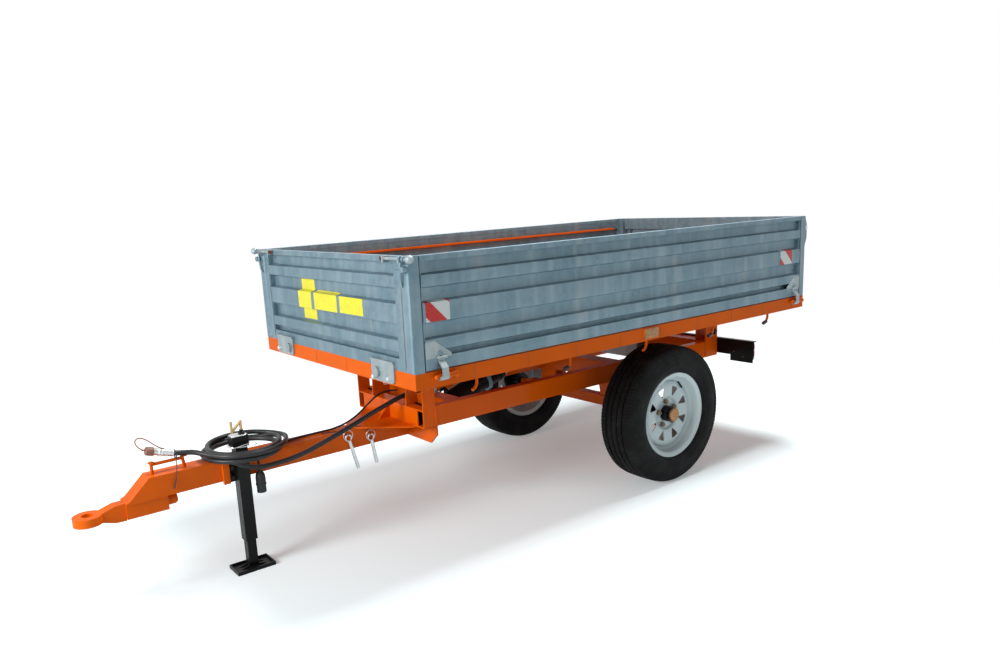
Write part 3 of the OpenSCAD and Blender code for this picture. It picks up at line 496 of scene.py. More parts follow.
SEAM = PowderCoat("rail_seam", (0.20, 0.050, 0.010), roughness=0.5)
STEEL = Plated("plated_steel", (0.62, 0.64, 0.65))
YELLOW_ZINC = Plated("yellow_zinc", (0.50, 0.35, 0.17), roughness=0.36, tint=(0.40, 0.20, 0.14))
DARK_NUT = Plated("weathered_nut", (0.26, 0.205, 0.150), roughness=0.42, tint=(0.16, 0.10, 0.07))
CAP_BRASS = Plated("bearing_cap", (0.30, 0.145, 0.065), roughness=0.40, tint=(0.30, 0.22, 0.08))
RUST = Plated("rusted_steel", (0.20, 0.085, 0.045), roughness=0.7, tint=(0.10, 0.05, 0.03))
COPPER = Elastomer("dust_cap", (0.20, 0.085, 0.055), roughness=0.45, bloom=(0.34, 0.18, 0.13))
TYRE = Elastomer("tyre_rubber", (0.007, 0.0068, 0.0068), bloom=(0.034, 0.035, 0.036), gloss=0.08)
HOSE = Elastomer("hose_rubber", (0.011, 0.011, 0.012), roughness=0.40, bloom=(0.035, 0.037, 0.040))
PLASTIC = Elastomer("black_plastic", (0.012, 0.012, 0.013), roughness=0.48)
RED_CORD = Elastomer("red_cord", (0.34, 0.045, 0.020), roughness=0.6, bloom=(0.36, 0.10, 0.05))
RED_LENS = LampGlass("red_lens", (0.50, 0.012, 0.010))
AMBER_LENS = LampGlass("amber_lens", (0.72, 0.17, 0.010))
SIDE_LENS = LampGlass("side_lens", (0.46, 0.20, 0.030))
CLEAR_LENS = LampGlass("clear_lens", (0.62, 0.64, 0.64))
LABEL = Vinyl("yellow_label", (0.74, 0.66, 0.015))

NODE_FINISHES: dict[Finish, tuple[str, ...]] = {
    ORANGE: ("tow_eye", "drawbar", "front_crossmember", "chassis_beams", "crossmembers",
             "pivot_stands", "axle_beam", "axle_brackets", "bed_frame", "bed_bearers",
             "pivot_blocks"),
    BED_ORANGE: ("bed_floor",),
    ZINC: ("front_board", "corner_posts", "side_board_left",
           "side_board_right", "tailgate"),
    PALE_ZINC: ("front_brackets", "corner_levers", "latches_left", "latches_right",
                "latches_tail"),
    DULL_ZINC: ("bed_bolster",),
    BLACK: ("jack_bracket", "jack_tube", "jack_leg", "hub_left", "hub_right", "light_board",
            "cylinder_barrel", "push_bracket"),
    STEEL: ("cylinder_stage_1", "cylinder_stage_2", "cylinder_rod", "hose_port", "locking_pins"),
    WHITE: ("wheel_left", "wheel_right"),
    TYRE: ("tyre_left", "tyre_right"),
    HOSE: ("hose_run", "hose_coil", "hose_tail"),
    YELLOW_ZINC: ("jack_crank",),
    RED_LENS: ("rear_lamps",),
    AMBER_LENS: ("side_reflectors",),
    PLASTIC: ("cable_run", "cable_plug", "hose_coupling"),
}


@dataclass
class Former:
    """Gathers the surfaces of one piece and turns them into an object that rides on a body."""

    name: str
    finish: Finish
    body: str
    slot: str
    vertices: list[Point] = field(default_factory=list)
    faces: list[Face] = field(default_factory=list)

    def add(self, vertices: Iterable[Sequence[float]], faces: Iterable[Face]) -> None:
        """Add a closed surface.

        Args:
            vertices: Its points.
            faces: Its faces, as places in those points.
        """
        first = len(self.vertices)
        self.vertices.extend(tuple(v) for v in vertices)
        self.faces.extend(tuple(first + i for i in face) for face in faces)

    def lathe(self, profile: Sequence[tuple[float, float]], centre: Point, axis: Point,
              segments: int = 32) -> None:
        """Turn an outline round an axis.

        Args:
            profile: Pairs of radius and height; a closed loop, or one that starts and ends on the
                axis with radius 0.
            centre: Where height 0 lies.
            axis: The direction in which height grows.
            segments: How many flats the turned form has.
        """
        turn = Vector(axis).normalized().to_track_quat("Z", "Y").to_matrix()
        open_ends = profile[0][0] < 1e-9 and profile[-1][0] < 1e-9
        rows = profile[1:-1] if open_ends else profile
        points = [Vector(centre) + turn @ Vector((r * math.cos(a), r * math.sin(a), h))
                  for r, h in rows
                  for a in (2.0 * math.pi * k / segments for k in range(segments))]
        count = len(rows)
        last = count - 1 if open_ends else count
        faces: list[Face] = []
        for i in range(last):
            j = (i + 1) % count
            for k in range(segments):
                n = (k + 1) % segments
                faces.append((i * segments + k, i * segments + n, j * segments + n, j * segments + k))
        if open_ends:
            tips = [Vector(centre) + turn @ Vector((0.0, 0.0, h))
                    for h in (profile[0][1], profile[-1][1])]
            base = len(points)
            points.extend(tips)
            for k in range(segments):
                n = (k + 1) % segments
                faces.append((base, n, k))
                faces.append((base + 1, (count - 1) * segments + k, (count - 1) * segments + n))
        self.add(points, faces)

    def slab(self, outline: Sequence[Point], push: Point) -> None:
        """Extrude a flat outline.

        Args:
            outline: The corners of one face, in order.
            push: The vector to the other face.
        """
        count = len(outline)
        shift = Vector(push)
        points = [Vector(p) for p in outline]
        points += [p + shift for p in points]
        faces: list[Face] = [tuple(range(count - 1, -1, -1)), tuple(range(count, 2 * count))]
        faces += [(i, (i + 1) % count, count + (i + 1) % count, count + i) for i in range(count)]
        self.add(points, faces)

    def wire(self, path: Sequence[Point], radius: float, sides: int = 10,
             closed: bool = False) -> None:
        """Run a round bar along a path.

        Args:
            path: The centre line's points.
            radius: The bar's radius.
            sides: How many flats it has.
            closed: Whether the path returns to its start.
        """
        line = [Vector(p) for p in path]
        count = len(line)
        rings: list[Vector] = []
        normal = Vector((0.0, 0.0, 1.0))
        for i, point in enumerate(line):
            before = line[(i - 1) % count] if closed or i else point
            after = line[(i + 1) % count] if closed or i < count - 1 else point
            tangent = (after - before).normalized()
            normal = (normal - tangent * normal.dot(tangent))
            if normal.length < 1e-4:
                normal = tangent.orthogonal()
            normal.normalize()
            other = tangent.cross(normal)
            rings += [point + radius * (math.cos(a) * normal + math.sin(a) * other)
                      for a in (2.0 * math.pi * k / sides for k in range(sides))]
        faces: list[Face] = []
        for i in range(count if closed else count - 1):
            j = (i + 1) % count
            faces += [(i * sides + k, i * sides + (k + 1) % sides,
                       j * sides + (k + 1) % sides, j * sides + k) for k in range(sides)]
        if not closed:
            faces.append(tuple(range(sides - 1, -1, -1)))
            faces.append(tuple((count - 1) * sides + k for k in range(sides)))
        self.add(rings, faces)

    def plate(self, centre: Point, size: Point) -> None:
        """Add a flat-sided block, whose edges the bevel rounds.

        Args:
            centre: Its middle.
            size: Its lengths along X, Y and Z.
        """
        x, y, z = centre
        a, b, c = (s / 2.0 for s in size)
        self.slab([(x - a, y - b, z - c), (x + a, y - b, z - c), (x + a, y + b, z - c),
                   (x - a, y + b, z - c)], (0.0, 0.0, 2.0 * c))

    def strip(self, path: Sequence[Point], across: Point, push: Point) -> None:
        """Lay a thin film along a path, bent where the path bends.

        Args:
            path: One edge of the film.
            across: The vector from that edge to the other.
            push: The film's thickness, as a vector off its backing.
        """
        over, out = Vector(across), Vector(push)
        points = [p + shift for p in (Vector(q) for q in path)
                  for shift in (Vector(), over, over + out, out)]
        faces: list[Face] = [(3, 2, 1, 0), tuple(len(points) - 4 + i for i in range(4))]
        for i in range(len(path) - 1):
            faces += [(4 * i + k, 4 * i + (k + 1) % 4, 4 * i + 4 + (k + 1) % 4, 4 * i + 4 + k)
                      for k in range(4)]
        self.add(points, faces)

    def bead(self, start: Point, end: Point, radius: float, ripple: float = 0.0048) -> None:
        """Run a rippled weld bead between two places.

        Args:
            start: Where it begins.
            end: Where it ends.
            radius: Its thickness at the crests.
            ripple: The distance between crests.
        """
        a, b = Vector(start), Vector(end)
        count = max(6, round((b - a).length / ripple * 3.0))
        turn = (b - a).normalized().to_track_quat("Z", "Y").to_matrix()
        rings: list[Vector] = []
        for i in range(count + 1):
            reach = radius * (1.0 - 0.24 * (i % 3) / 2.0) * (0.55 if i in (0, count) else 1.0)
            centre = a + (b - a) * (i / count)
            rings += [centre + turn @ Vector((reach * math.cos(t), reach * math.sin(t), 0.0))
                      for t in (2.0 * math.pi * k / 8 for k in range(8))]
        faces: list[Face] = [tuple(range(7, -1, -1)), tuple(count * 8 + k for k in range(8))]
        for i in range(count):
            faces += [(i * 8 + k, i * 8 + (k + 1) % 8, i * 8 + 8 + (k + 1) % 8, i * 8 + 8 + k)
                      for k in range(8)]
        self.add(rings, faces)

    def bolt(self, seat: Point, axis: Point, size: float, washer: bool = True) -> None:
        """Seat a hexagon head, on a washer where asked.

        Args:
            seat: The middle of the face it sits on.
            axis: The direction in which it stands up.
            size: The thread's diameter.
            washer: Whether a washer lies under it.
        """
        start = 0.0
        if washer:
            self.lathe(((0.0, 0.0), (size * 1.1, 0.0), (size * 1.1, size * 0.16), (0.0, size * 0.16)),
                       seat, axis, 24)
            start = size * 0.16
        self.lathe(((0.0, start), (size * 0.95, start), (size * 0.95, start + size * 0.56),
                    (size * 0.82, start + size * 0.66), (0.0, start + size * 0.66)), seat, axis, 6)

    def finished(self, bevel: float = 0.0, smooth_angle: float = 38.0) -> bpy.types.Object:
        """Make the object, soften its edges and seat it on its body.

        Args:
            bevel: The width of its edge rounding, or 0 for none.
            smooth_angle: Edges sharper than this many degrees stay crisp.

        Returns:
            The new object.
        """
        mesh = bpy.data.meshes.new(self.name)
        mesh.from_pydata([tuple(v) for v in self.vertices], [], self.faces)
        form = bmesh.new()
        form.from_mesh(mesh)
        bmesh.ops.recalc_face_normals(form, faces=form.faces)
        for face in form.faces:
            face.smooth = True
        for edge in form.edges:
            edge.smooth = edge.calc_face_angle(0.0) < math.radians(smooth_angle)
        form.to_mesh(mesh)
        form.free()
        mesh.materials.append(self.finish.material())
        piece = bpy.data.objects.new(self.name, mesh)
        bpy.context.scene.collection.objects.link(piece)
        if bevel > 0.0:
            rounding = piece.modifiers.new("edge rounding", "BEVEL")
            rounding.width = bevel
            rounding.segments = 2
            rounding.limit_method = "ANGLE"
            rounding.angle_limit = math.radians(smooth_angle)
            rounding.harden_normals = False
        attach(piece, self.body)
        LOG.info("%s rides on %s", self.name, self.body)
        return piece


@dataclass(frozen=True)
class Layout:
    """Carries places counted from the axle into the model's frame."""

    axle_x: float

    @classmethod
    def from_frame(cls) -> Layout:
        """Read the axle's place from the left tyre's box."""
        low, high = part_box("tyre_left")
        return cls(axle_x=(low[0] + high[0]) / 2.0)

    def at(self, x: float, y: float, z: float) -> Point:
        """Give the model's place of a point counted from the axle, in metres."""
        return (x + self.axle_x, y, z)


@dataclass(frozen=True)
class Line:
    """A smooth centre line through chosen points, for cords and bent bars."""

    points: tuple[Point, ...]

    def length(self) -> float:
        """Give the length of the smooth line."""
        fine = self.sampled(8)
        return sum((Vector(b) - Vector(a)).length for a, b in zip(fine, fine[1:]))

    def sampled(self, steps: int) -> list[Point]:
        """Give points along the smooth line.

        Args:
            steps: How many stretches lie between two chosen points.

        Returns:
            The points, ends included.
        """
        line = [Vector(p) for p in self.points]
        line = [2.0 * line[0] - line[1], *line, 2.0 * line[-1] - line[-2]]
        result: list[Point] = []
        for a, b, c, d in zip(line, line[1:], line[2:], line[3:]):
            for k in range(steps):
                t = k / steps
                result.append(tuple(0.5 * (2.0 * b + (c - a) * t
                                           + (2.0 * a - 5.0 * b + 4.0 * c - d) * t * t
                                           + (3.0 * b - a - 3.0 * c + d) * t * t * t)))
        result.append(tuple(line[-2]))
        return result

    def curve(self, name: str, diameter: float, finish: Finish) -> bpy.types.Object:
        """Make a round cord on the line, as a curve of one open spline.

        Args:
            name: The object's name.
            diameter: The cord's diameter.
            finish: What it wears.

        Returns:
            The curve object.
        """
        shape = bpy.data.curves.new(name, "CURVE")
        shape.dimensions = "3D"
        shape.bevel_depth = diameter / 2.0
        shape.bevel_resolution = 4
        shape.use_fill_caps = True
        spline = shape.splines.new("BEZIER")
        spline.bezier_points.add(len(self.points) - 1)
        for knot, place in zip(spline.bezier_points, self.points):
            knot.co = place
            knot.handle_left_type = "AUTO"
            knot.handle_right_type = "AUTO"
        spline.resolution_u = 4
        shape.materials.append(finish.material())
        cord = bpy.data.objects.new(name, shape)
        bpy.context.scene.collection.objects.link(cord)
        return cord


@dataclass
class HydraulicHose:
    """The tipping hose: from its port over the drawbar, three turns round the jack, to its coupling."""

    layout: Layout
    diameter: float = 0.019
    run: tuple[Point, ...] = (
        (0.975, 0.070, 0.532), (1.010, 0.075, 0.538), (1.060, 0.092, 0.545), (1.110, 0.105, 0.546),
        (1.160, 0.108, 0.536), (1.220, 0.107, 0.518), (1.285, 0.106, 0.498), (1.350, 0.108, 0.477),
        (1.415, 0.110, 0.457), (1.480, 0.112, 0.438), (1.540, 0.113, 0.421), (1.600, 0.114, 0.406),
        (1.660, 0.115, 0.397), (1.720, 0.117, 0.394), (1.780, 0.120, 0.398), (1.835, 0.122, 0.416))
    centre: tuple[float, float] = (1.795, 0.020)
    first_angle: float = 49.0
    winding: tuple[tuple[float, float, float], ...] = (
        (0.0, 0.130, 0.441), (40.0, 0.130, 0.449), (250.0, 0.130, 0.449), (340.0, 0.150, 0.449),
        (540.0, 0.150, 0.449), (575.0, 0.146, 0.464), (610.0, 0.130, 0.4685), (790.0, 0.130, 0.4685),
        (880.0, 0.160, 0.4685), (900.0, 0.162, 0.466), (917.0, 0.168, 0.463), (935.0, 0.169, 0.463),
        (952.0, 0.165, 0.466), (970.0, 0.155, 0.468), (1099.0, 0.150, 0.4685))
    turn_step: float = 15.0
    tail: tuple[Point, ...] = (
        (1.941, 0.067, 0.469), (1.960, 0.040, 0.473), (1.982, 0.019, 0.479), (2.008, 0.006, 0.4815),
        (2.034, 0.001, 0.485), (2.052, 0.000, 0.4895))
    tilt: float = 73.0
    cord_diameter: float = 0.0038

    def coil(self) -> list[Point]:
        """Wind the coil from its table of turned angle, radius and height.

        Returns:
            Its points, clockwise from above.
        """
        points: list[Point] = []
        steps = round(self.winding[-1][0] / self.turn_step)
        for k in range(steps + 1):
            turned = self.winding[-1][0] * k / steps
            a, b = next((p, q) for p, q in zip(self.winding, self.winding[1:])
                        if turned <= q[0] + 1e-6)
            share = (turned - a[0]) / (b[0] - a[0])
            radius = a[1] + (b[1] - a[1]) * share
            height = a[2] + (b[2] - a[2]) * share
            angle = math.radians(self.first_angle - turned)
            points.append((self.centre[0] + radius * math.cos(angle),
                           self.centre[1] + radius * math.sin(angle), height))
        return points

    def build(self) -> None:
        """Make the hose, its coupling and its tie."""
        points = [self.layout.at(*p) for p in (*self.run, *self.coil(), *self.tail)]
        line = Line(tuple(points))
        hose = line.curve("hydraulic_hose", self.diameter, HOSE)
        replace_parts(hose, "hose_run", "hose_coil", "hose_tail")
        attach(hose, "chassis")
        parts = self.coupling()
        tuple(points[0])
        line.length()
        self.cap_loop()
        self.tie()
        LOG.info("hydraulic hose is %.2f m long", line.length())

    def along_coupling(self, distance: float, aside: float = 0.0, rise: float = 0.0) -> Point:
        """Give a place counted along the coupling's own axis.

        Args:
            distance: How far from the hose's end.
            aside: How far to the left.
            rise: How far above the axis.

        Returns:
            The place in the model's frame.
        """
        x, y, z = self.tail[-1]
        lean = math.radians(self.tilt)
        return self.layout.at(x + distance * math.sin(lean) - rise * math.cos(lean), y + aside,
                              z + distance * math.cos(lean) + rise * math.sin(lean))

    def coupling(self) -> list[bpy.types.Object]:
        """Turn the crimped ferrule, the nut, the plug body and the dust cap.

        Returns:
            The two pieces.
        """
        start = self.along_coupling(0.0)
        axis = tuple(b - a for a, b in zip(start, self.along_coupling(1.0)))
        body = Former("hose_coupling_body", STEEL, "chassis", "plated_steel")
        crimps = [(0.0, -0.004), (0.0125, -0.004), (0.0132, -0.002)]
        for k in range(4):
            z = 0.003 + 0.0075 * k
            crimps += [(0.0132, z), (0.0124, z + 0.0012), (0.0124, z + 0.0024), (0.0132, z + 0.0036)]
        crimps += [(0.0132, 0.040), (0.0110, 0.043), (0.0110, 0.046), (0.0, 0.046)]
        body.lathe(crimps, start, axis, 40)
        body.lathe(((0.0, 0.044), (0.0138, 0.044), (0.0148, 0.0455), (0.0148, 0.0485),
                    (0.0138, 0.050), (0.0128, 0.0505), (0.0128, 0.061), (0.0142, 0.063),
                    (0.0142, 0.070), (0.0, 0.070)), start, axis, 40)
        cap = Former("hose_dust_cap", COPPER, "chassis", "black_plastic")
        cap.lathe(((0.0, 0.066), (0.0150, 0.066), (0.0158, 0.068), (0.0158, 0.088), (0.0146, 0.093),
                   (0.0105, 0.0955), (0.0060, 0.0960), (0.0045, 0.0975), (0.0, 0.0980)), start, axis, 40)
        metal = body.finished(0.0004)
        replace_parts(metal, "hose_coupling")
        return [metal, cap.finished(0.0006)]

    def cap_loop(self) -> None:
        """Tie the red cord from the cap's nose back to the ferrule, with its knot."""
        stations = ((0.094, 0.0, 0.001), (0.106, 0.002, 0.004), (0.120, 0.004, 0.011),
                    (0.131, 0.004, 0.021), (0.135, 0.003, 0.032), (0.130, 0.001, 0.041),
                    (0.118, -0.001, 0.044), (0.102, -0.002, 0.041), (0.086, -0.002, 0.034),
                    (0.071, -0.001, 0.0265), (0.057, 0.0, 0.020), (0.046, 0.0, 0.0155),
                    (0.038, 0.0, 0.0142), (0.030, 0.0, 0.0140))
        line = Line(tuple(self.along_coupling(*s) for s in stations))
        loop = line.curve("dust_cap_cord", self.cord_diameter, RED_CORD)
        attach(loop, "chassis")
        knot = Former("dust_cap_knot", RED_CORD, "chassis", "black_plastic")
        knot.lathe(((0.0, -0.004), (0.0028, -0.003), (0.0038, 0.0), (0.0028, 0.003), (0.0, 0.004)),
                   self.along_coupling(0.104, 0.002, 0.003), (1.0, 0.1, 0.3), 16)
        piece = knot.finished()
        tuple(line.points[0])
        line.length()

    def tie(self) -> None:
        """Strap the hose's end to its loop with a cable tie, its tongue hanging down the drawbar."""
        tie = Former("hose_tie", PLASTIC, "chassis", "black_plastic")
        x, y, z = self.tail[-2]
        ring = [(x + 0.008, y + 0.0125 * math.cos(a), z - 0.003 + 0.0165 * math.sin(a))
                for a in (2.0 * math.pi * k / 24 for k in range(24))]
        tie.wire([self.layout.at(*p) for p in ring], 0.0022, 8, closed=True)
        tongue = ((0.009, 0.013, -0.004), (0.013, 0.022, -0.020), (0.018, 0.034, -0.042),
                  (0.023, 0.0435, -0.060), (0.028, 0.0450, -0.078), (0.034, 0.0455, -0.098),
                  (0.039, 0.0460, -0.114))
        tie.wire([self.layout.at(x + a, y + b, z + c) for a, b, c in tongue[:5]], 0.0016, 8)
        tie.wire([self.layout.at(x + a, y + b, z + c) for a, b, c in tongue[4:]], 0.0030, 8)
        head = self.layout.at(x + 0.008, y + 0.0140, z - 0.002)
        tie.lathe(((0.0, -0.004), (0.0042, -0.004), (0.0042, 0.004), (0.0, 0.004)), head, (0, 1, 0), 4)
        tie.finished(0.0004)


@dataclass
class LightingCable:
    """The lamps' cable over the drawbar and its seven-pin plug beside the jack."""

    layout: Layout
    diameter: float = 0.008
    route: tuple[Point, ...] = (
        (1.060, -0.060, 0.524), (1.110, -0.062, 0.528), (1.160, -0.055, 0.522), (1.215, -0.040, 0.500),
        (1.270, -0.026, 0.472), (1.330, -0.018, 0.448), (1.400, -0.014, 0.435), (1.480, -0.012, 0.434),
        (1.560, -0.006, 0.434), (1.630, 0.006, 0.434), (1.690, 0.024, 0.436), (1.735, 0.044, 0.438),
        (1.758, 0.062, 0.428), (1.765, 0.072, 0.408), (1.766, 0.076, 0.388), (1.766, 0.077, 0.374))
    plug_length: float = 0.088

    def build(self) -> None:
        """Make the cable and its plug."""
        line = Line(tuple(self.layout.at(*p) for p in self.route))
        cable = line.curve("lighting_cable", self.diameter, PLASTIC)
        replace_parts(cable, "cable_run")
        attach(cable, "chassis")
        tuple(line.points[0])
        line.length()
        self.plug()

    def plug(self) -> bpy.types.Object:
        """Mould the ribbed plug with its strain relief, collar and rim.

        Returns:
            The plug.
        """
        plug = Former("lighting_plug", PLASTIC, "chassis", "black_plastic")
        top = self.layout.at(*self.route[-1])
        down = (0.0, 0.0, -1.0)
        sleeve = [(0.0, -0.016), (0.0060, -0.016)]
        for k in range(4):
            z = -0.012 + 0.0045 * k
            sleeve += [(0.0068 + 0.0004 * k, z), (0.0058 + 0.0004 * k, z + 0.0014),
                       (0.0058 + 0.0004 * k, z + 0.0030)]
        sleeve += [(0.0110, 0.010), (0.0150, 0.014), (0.0172, 0.020), (0.0180, 0.030), (0.0180, 0.052),
                   (0.0200, 0.054), (0.0200, 0.058), (0.0175, 0.060), (0.0175, self.plug_length),
                   (0.0158, self.plug_length), (0.0158, 0.066), (0.0, 0.066)]
        plug.lathe(sleeve, top, down, 40)
        for k in range(10):
            a = 2.0 * math.pi * k / 10
            place = (top[0] + 0.0176 * math.cos(a), top[1] + 0.0176 * math.sin(a), top[2] - 0.040)
            plug.lathe(((0.0, -0.012), (0.0016, -0.010), (0.0016, 0.010), (0.0, 0.012)), place, down, 8)
        for k in range(7):
            a = 2.0 * math.pi * k / 6
            reach = 0.0095 if k < 6 else 0.0
            place = (top[0] + reach * math.cos(a), top[1] + reach * math.sin(a), top[2] - 0.066)
            plug.lathe(((0.0, 0.0), (0.0022, 0.0), (0.0022, 0.016), (0.0, 0.017)), place, down, 10)
        piece = plug.finished(0.0004)
        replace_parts(piece, "cable_plug")
        return piece


@dataclass
class PinLanyards:
    """The thin black cords that keep the locking pins on the drawbar."""

    layout: Layout
    diameter: float = 0.004
    routes: tuple[tuple[Point, ...], ...] = (
        ((1.468, 0.006, 0.4315), (1.455, 0.018, 0.4340), (1.438, 0.030, 0.4355), (1.420, 0.040, 0.4350),
         (1.402, 0.0465, 0.4315), (1.388, 0.0495, 0.4245), (1.378, 0.0505, 0.4160),
         (1.372, 0.0510, 0.4070)),
        ((1.345, 0.004, 0.4315), (1.335, 0.017, 0.4340), (1.322, 0.030, 0.4355), (1.307, 0.041, 0.4345),
         (1.293, 0.0475, 0.4280), (1.281, 0.0500, 0.4170), (1.273, 0.0510, 0.4040),
         (1.269, 0.0510, 0.3920)))

    def build(self) -> None:
        """Make both cords."""
        for number, route in enumerate(self.routes, 1):
            line = Line(tuple(self.layout.at(*p) for p in route))
            cord = line.curve(f"pin_lanyard_{number}", self.diameter, PLASTIC)
            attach(cord, "chassis")
            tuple(line.points[0])
            line.length()


@dataclass
class Tyre:
    """A trailer tyre with five ribs, zigzag grooves, shoulder sipes and moulded sidewalls."""

    side: Side
    sipes: int = 120
    samples: int = 4
    groove_depth: float = 0.007
    groove_half: float = 0.0036
    groove_places: tuple[float, ...] = (-0.045, -0.015, 0.015, 0.045)
    zigzag: float = 0.0014

    def build(self) -> None:
        """Mould the tyre over its solid."""
        node = f"tyre_{self.side.word}"
        low, high = (Vector(c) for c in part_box(node))
        middle = (low + high) / 2.0
        crown = (high.z - low.z) / 2.0
        half = (high.y - low.y) / 2.0
        section = self.section(crown, half)
        around = self.sipes * self.samples
        points: list[Point] = []
        for k in range(around):
            angle = 2.0 * math.pi * k / around
            for offset, radius in section:
                wave = self.zigzag if (k // self.samples) % 2 else -self.zigzag
                shifted = offset + (wave if abs(offset) < 0.056 else 0.0)
                reach = radius - self.sipe(k, offset, radius, crown)
                points.append((middle.x + reach * math.cos(angle), middle.y + shifted,
                               middle.z + reach * math.sin(angle)))
        count = len(section)
        faces: list[Face] = []
        for k in range(around):
            n = (k + 1) % around
            for j in range(count):
                m = (j + 1) % count
                faces.append((k * count + j, k * count + m, n * count + m, n * count + j))
        tyre = Former(f"road_{node}", TYRE, f"{self.side.word}_wheel", "tyre_rubber")
        tyre.add(points, faces)
        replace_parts(tyre.finished(smooth_angle=32.0), node)

    def section(self, crown: float, half: float) -> list[tuple[float, float]]:
        """Draw the tyre's cross-section.

        Args:
            crown: The tyre's outer radius.
            half: Half of its section width.

        Returns:
            A closed loop of pairs of offset from the middle plane and radius.
        """
        right: list[tuple[float, float]] = [(0.0, crown)]
        for place in (p for p in self.groove_places if p > 0.0):
            level = crown - 0.0035 * (place / 0.08) ** 2
            floor = level - self.groove_depth
            right += [(place - self.groove_half - 0.0004, level), (place - self.groove_half + 0.0006, floor),
                      (place + self.groove_half - 0.0006, floor), (place + self.groove_half + 0.0004, level)]
            right.append((place + 0.013, level - 0.0008))
        shoulder = 0.027
        for k in range(1, 7):
            a = math.radians(15.0 * k - 3.0)
            right.append((half - 0.0055 - shoulder + shoulder * math.sin(a),
                          crown - 0.0030 - shoulder + shoulder * math.cos(a)))
        right += [(half - 0.0045, crown - 0.036), (half - 0.0028, crown - 0.037),
                  (half - 0.0028, crown - 0.040), (half - 0.0036, crown - 0.0412),
                  (half - 0.0010, crown - 0.055), (half, crown - 0.068), (half - 0.0006, crown - 0.080),
                  (half - 0.0002, crown - 0.0805), (half - 0.0002, crown - 0.0835),
                  (half - 0.0012, crown - 0.0842), (half - 0.0042, crown - 0.096),
                  (half - 0.0065, crown - 0.1015), (half - 0.0065, crown - 0.1040),
                  (half - 0.0105, crown - 0.1085), (half - 0.0160, crown - 0.1165),
                  (half - 0.0225, crown - 0.1190), (half - 0.0240, crown - 0.1300),
                  (half - 0.0290, crown - 0.1362)]
        left = [(-offset, radius) for offset, radius in reversed(right[1:])]
        return right + left

    def sipe(self, step: int, offset: float, radius: float, crown: float) -> float:
        """Give how deep the rubber is cut at one place.

        Args:
            step: Which station round the tyre.
            offset: Distance from the middle plane.
            radius: The station's radius.
            crown: The tyre's outer radius.

        Returns:
            The cut's depth.
        """
        reach = abs(offset)
        if 0.062 < reach and crown - 0.033 < radius:
            return 0.0030 if step % self.samples == 0 else 0.0
        slant = round(offset / 0.010)
        on_rib = radius > crown - 0.005 and 0.018 < reach < 0.042
        return 0.0022 if on_rib and (step + slant) % self.samples == 0 else 0.0


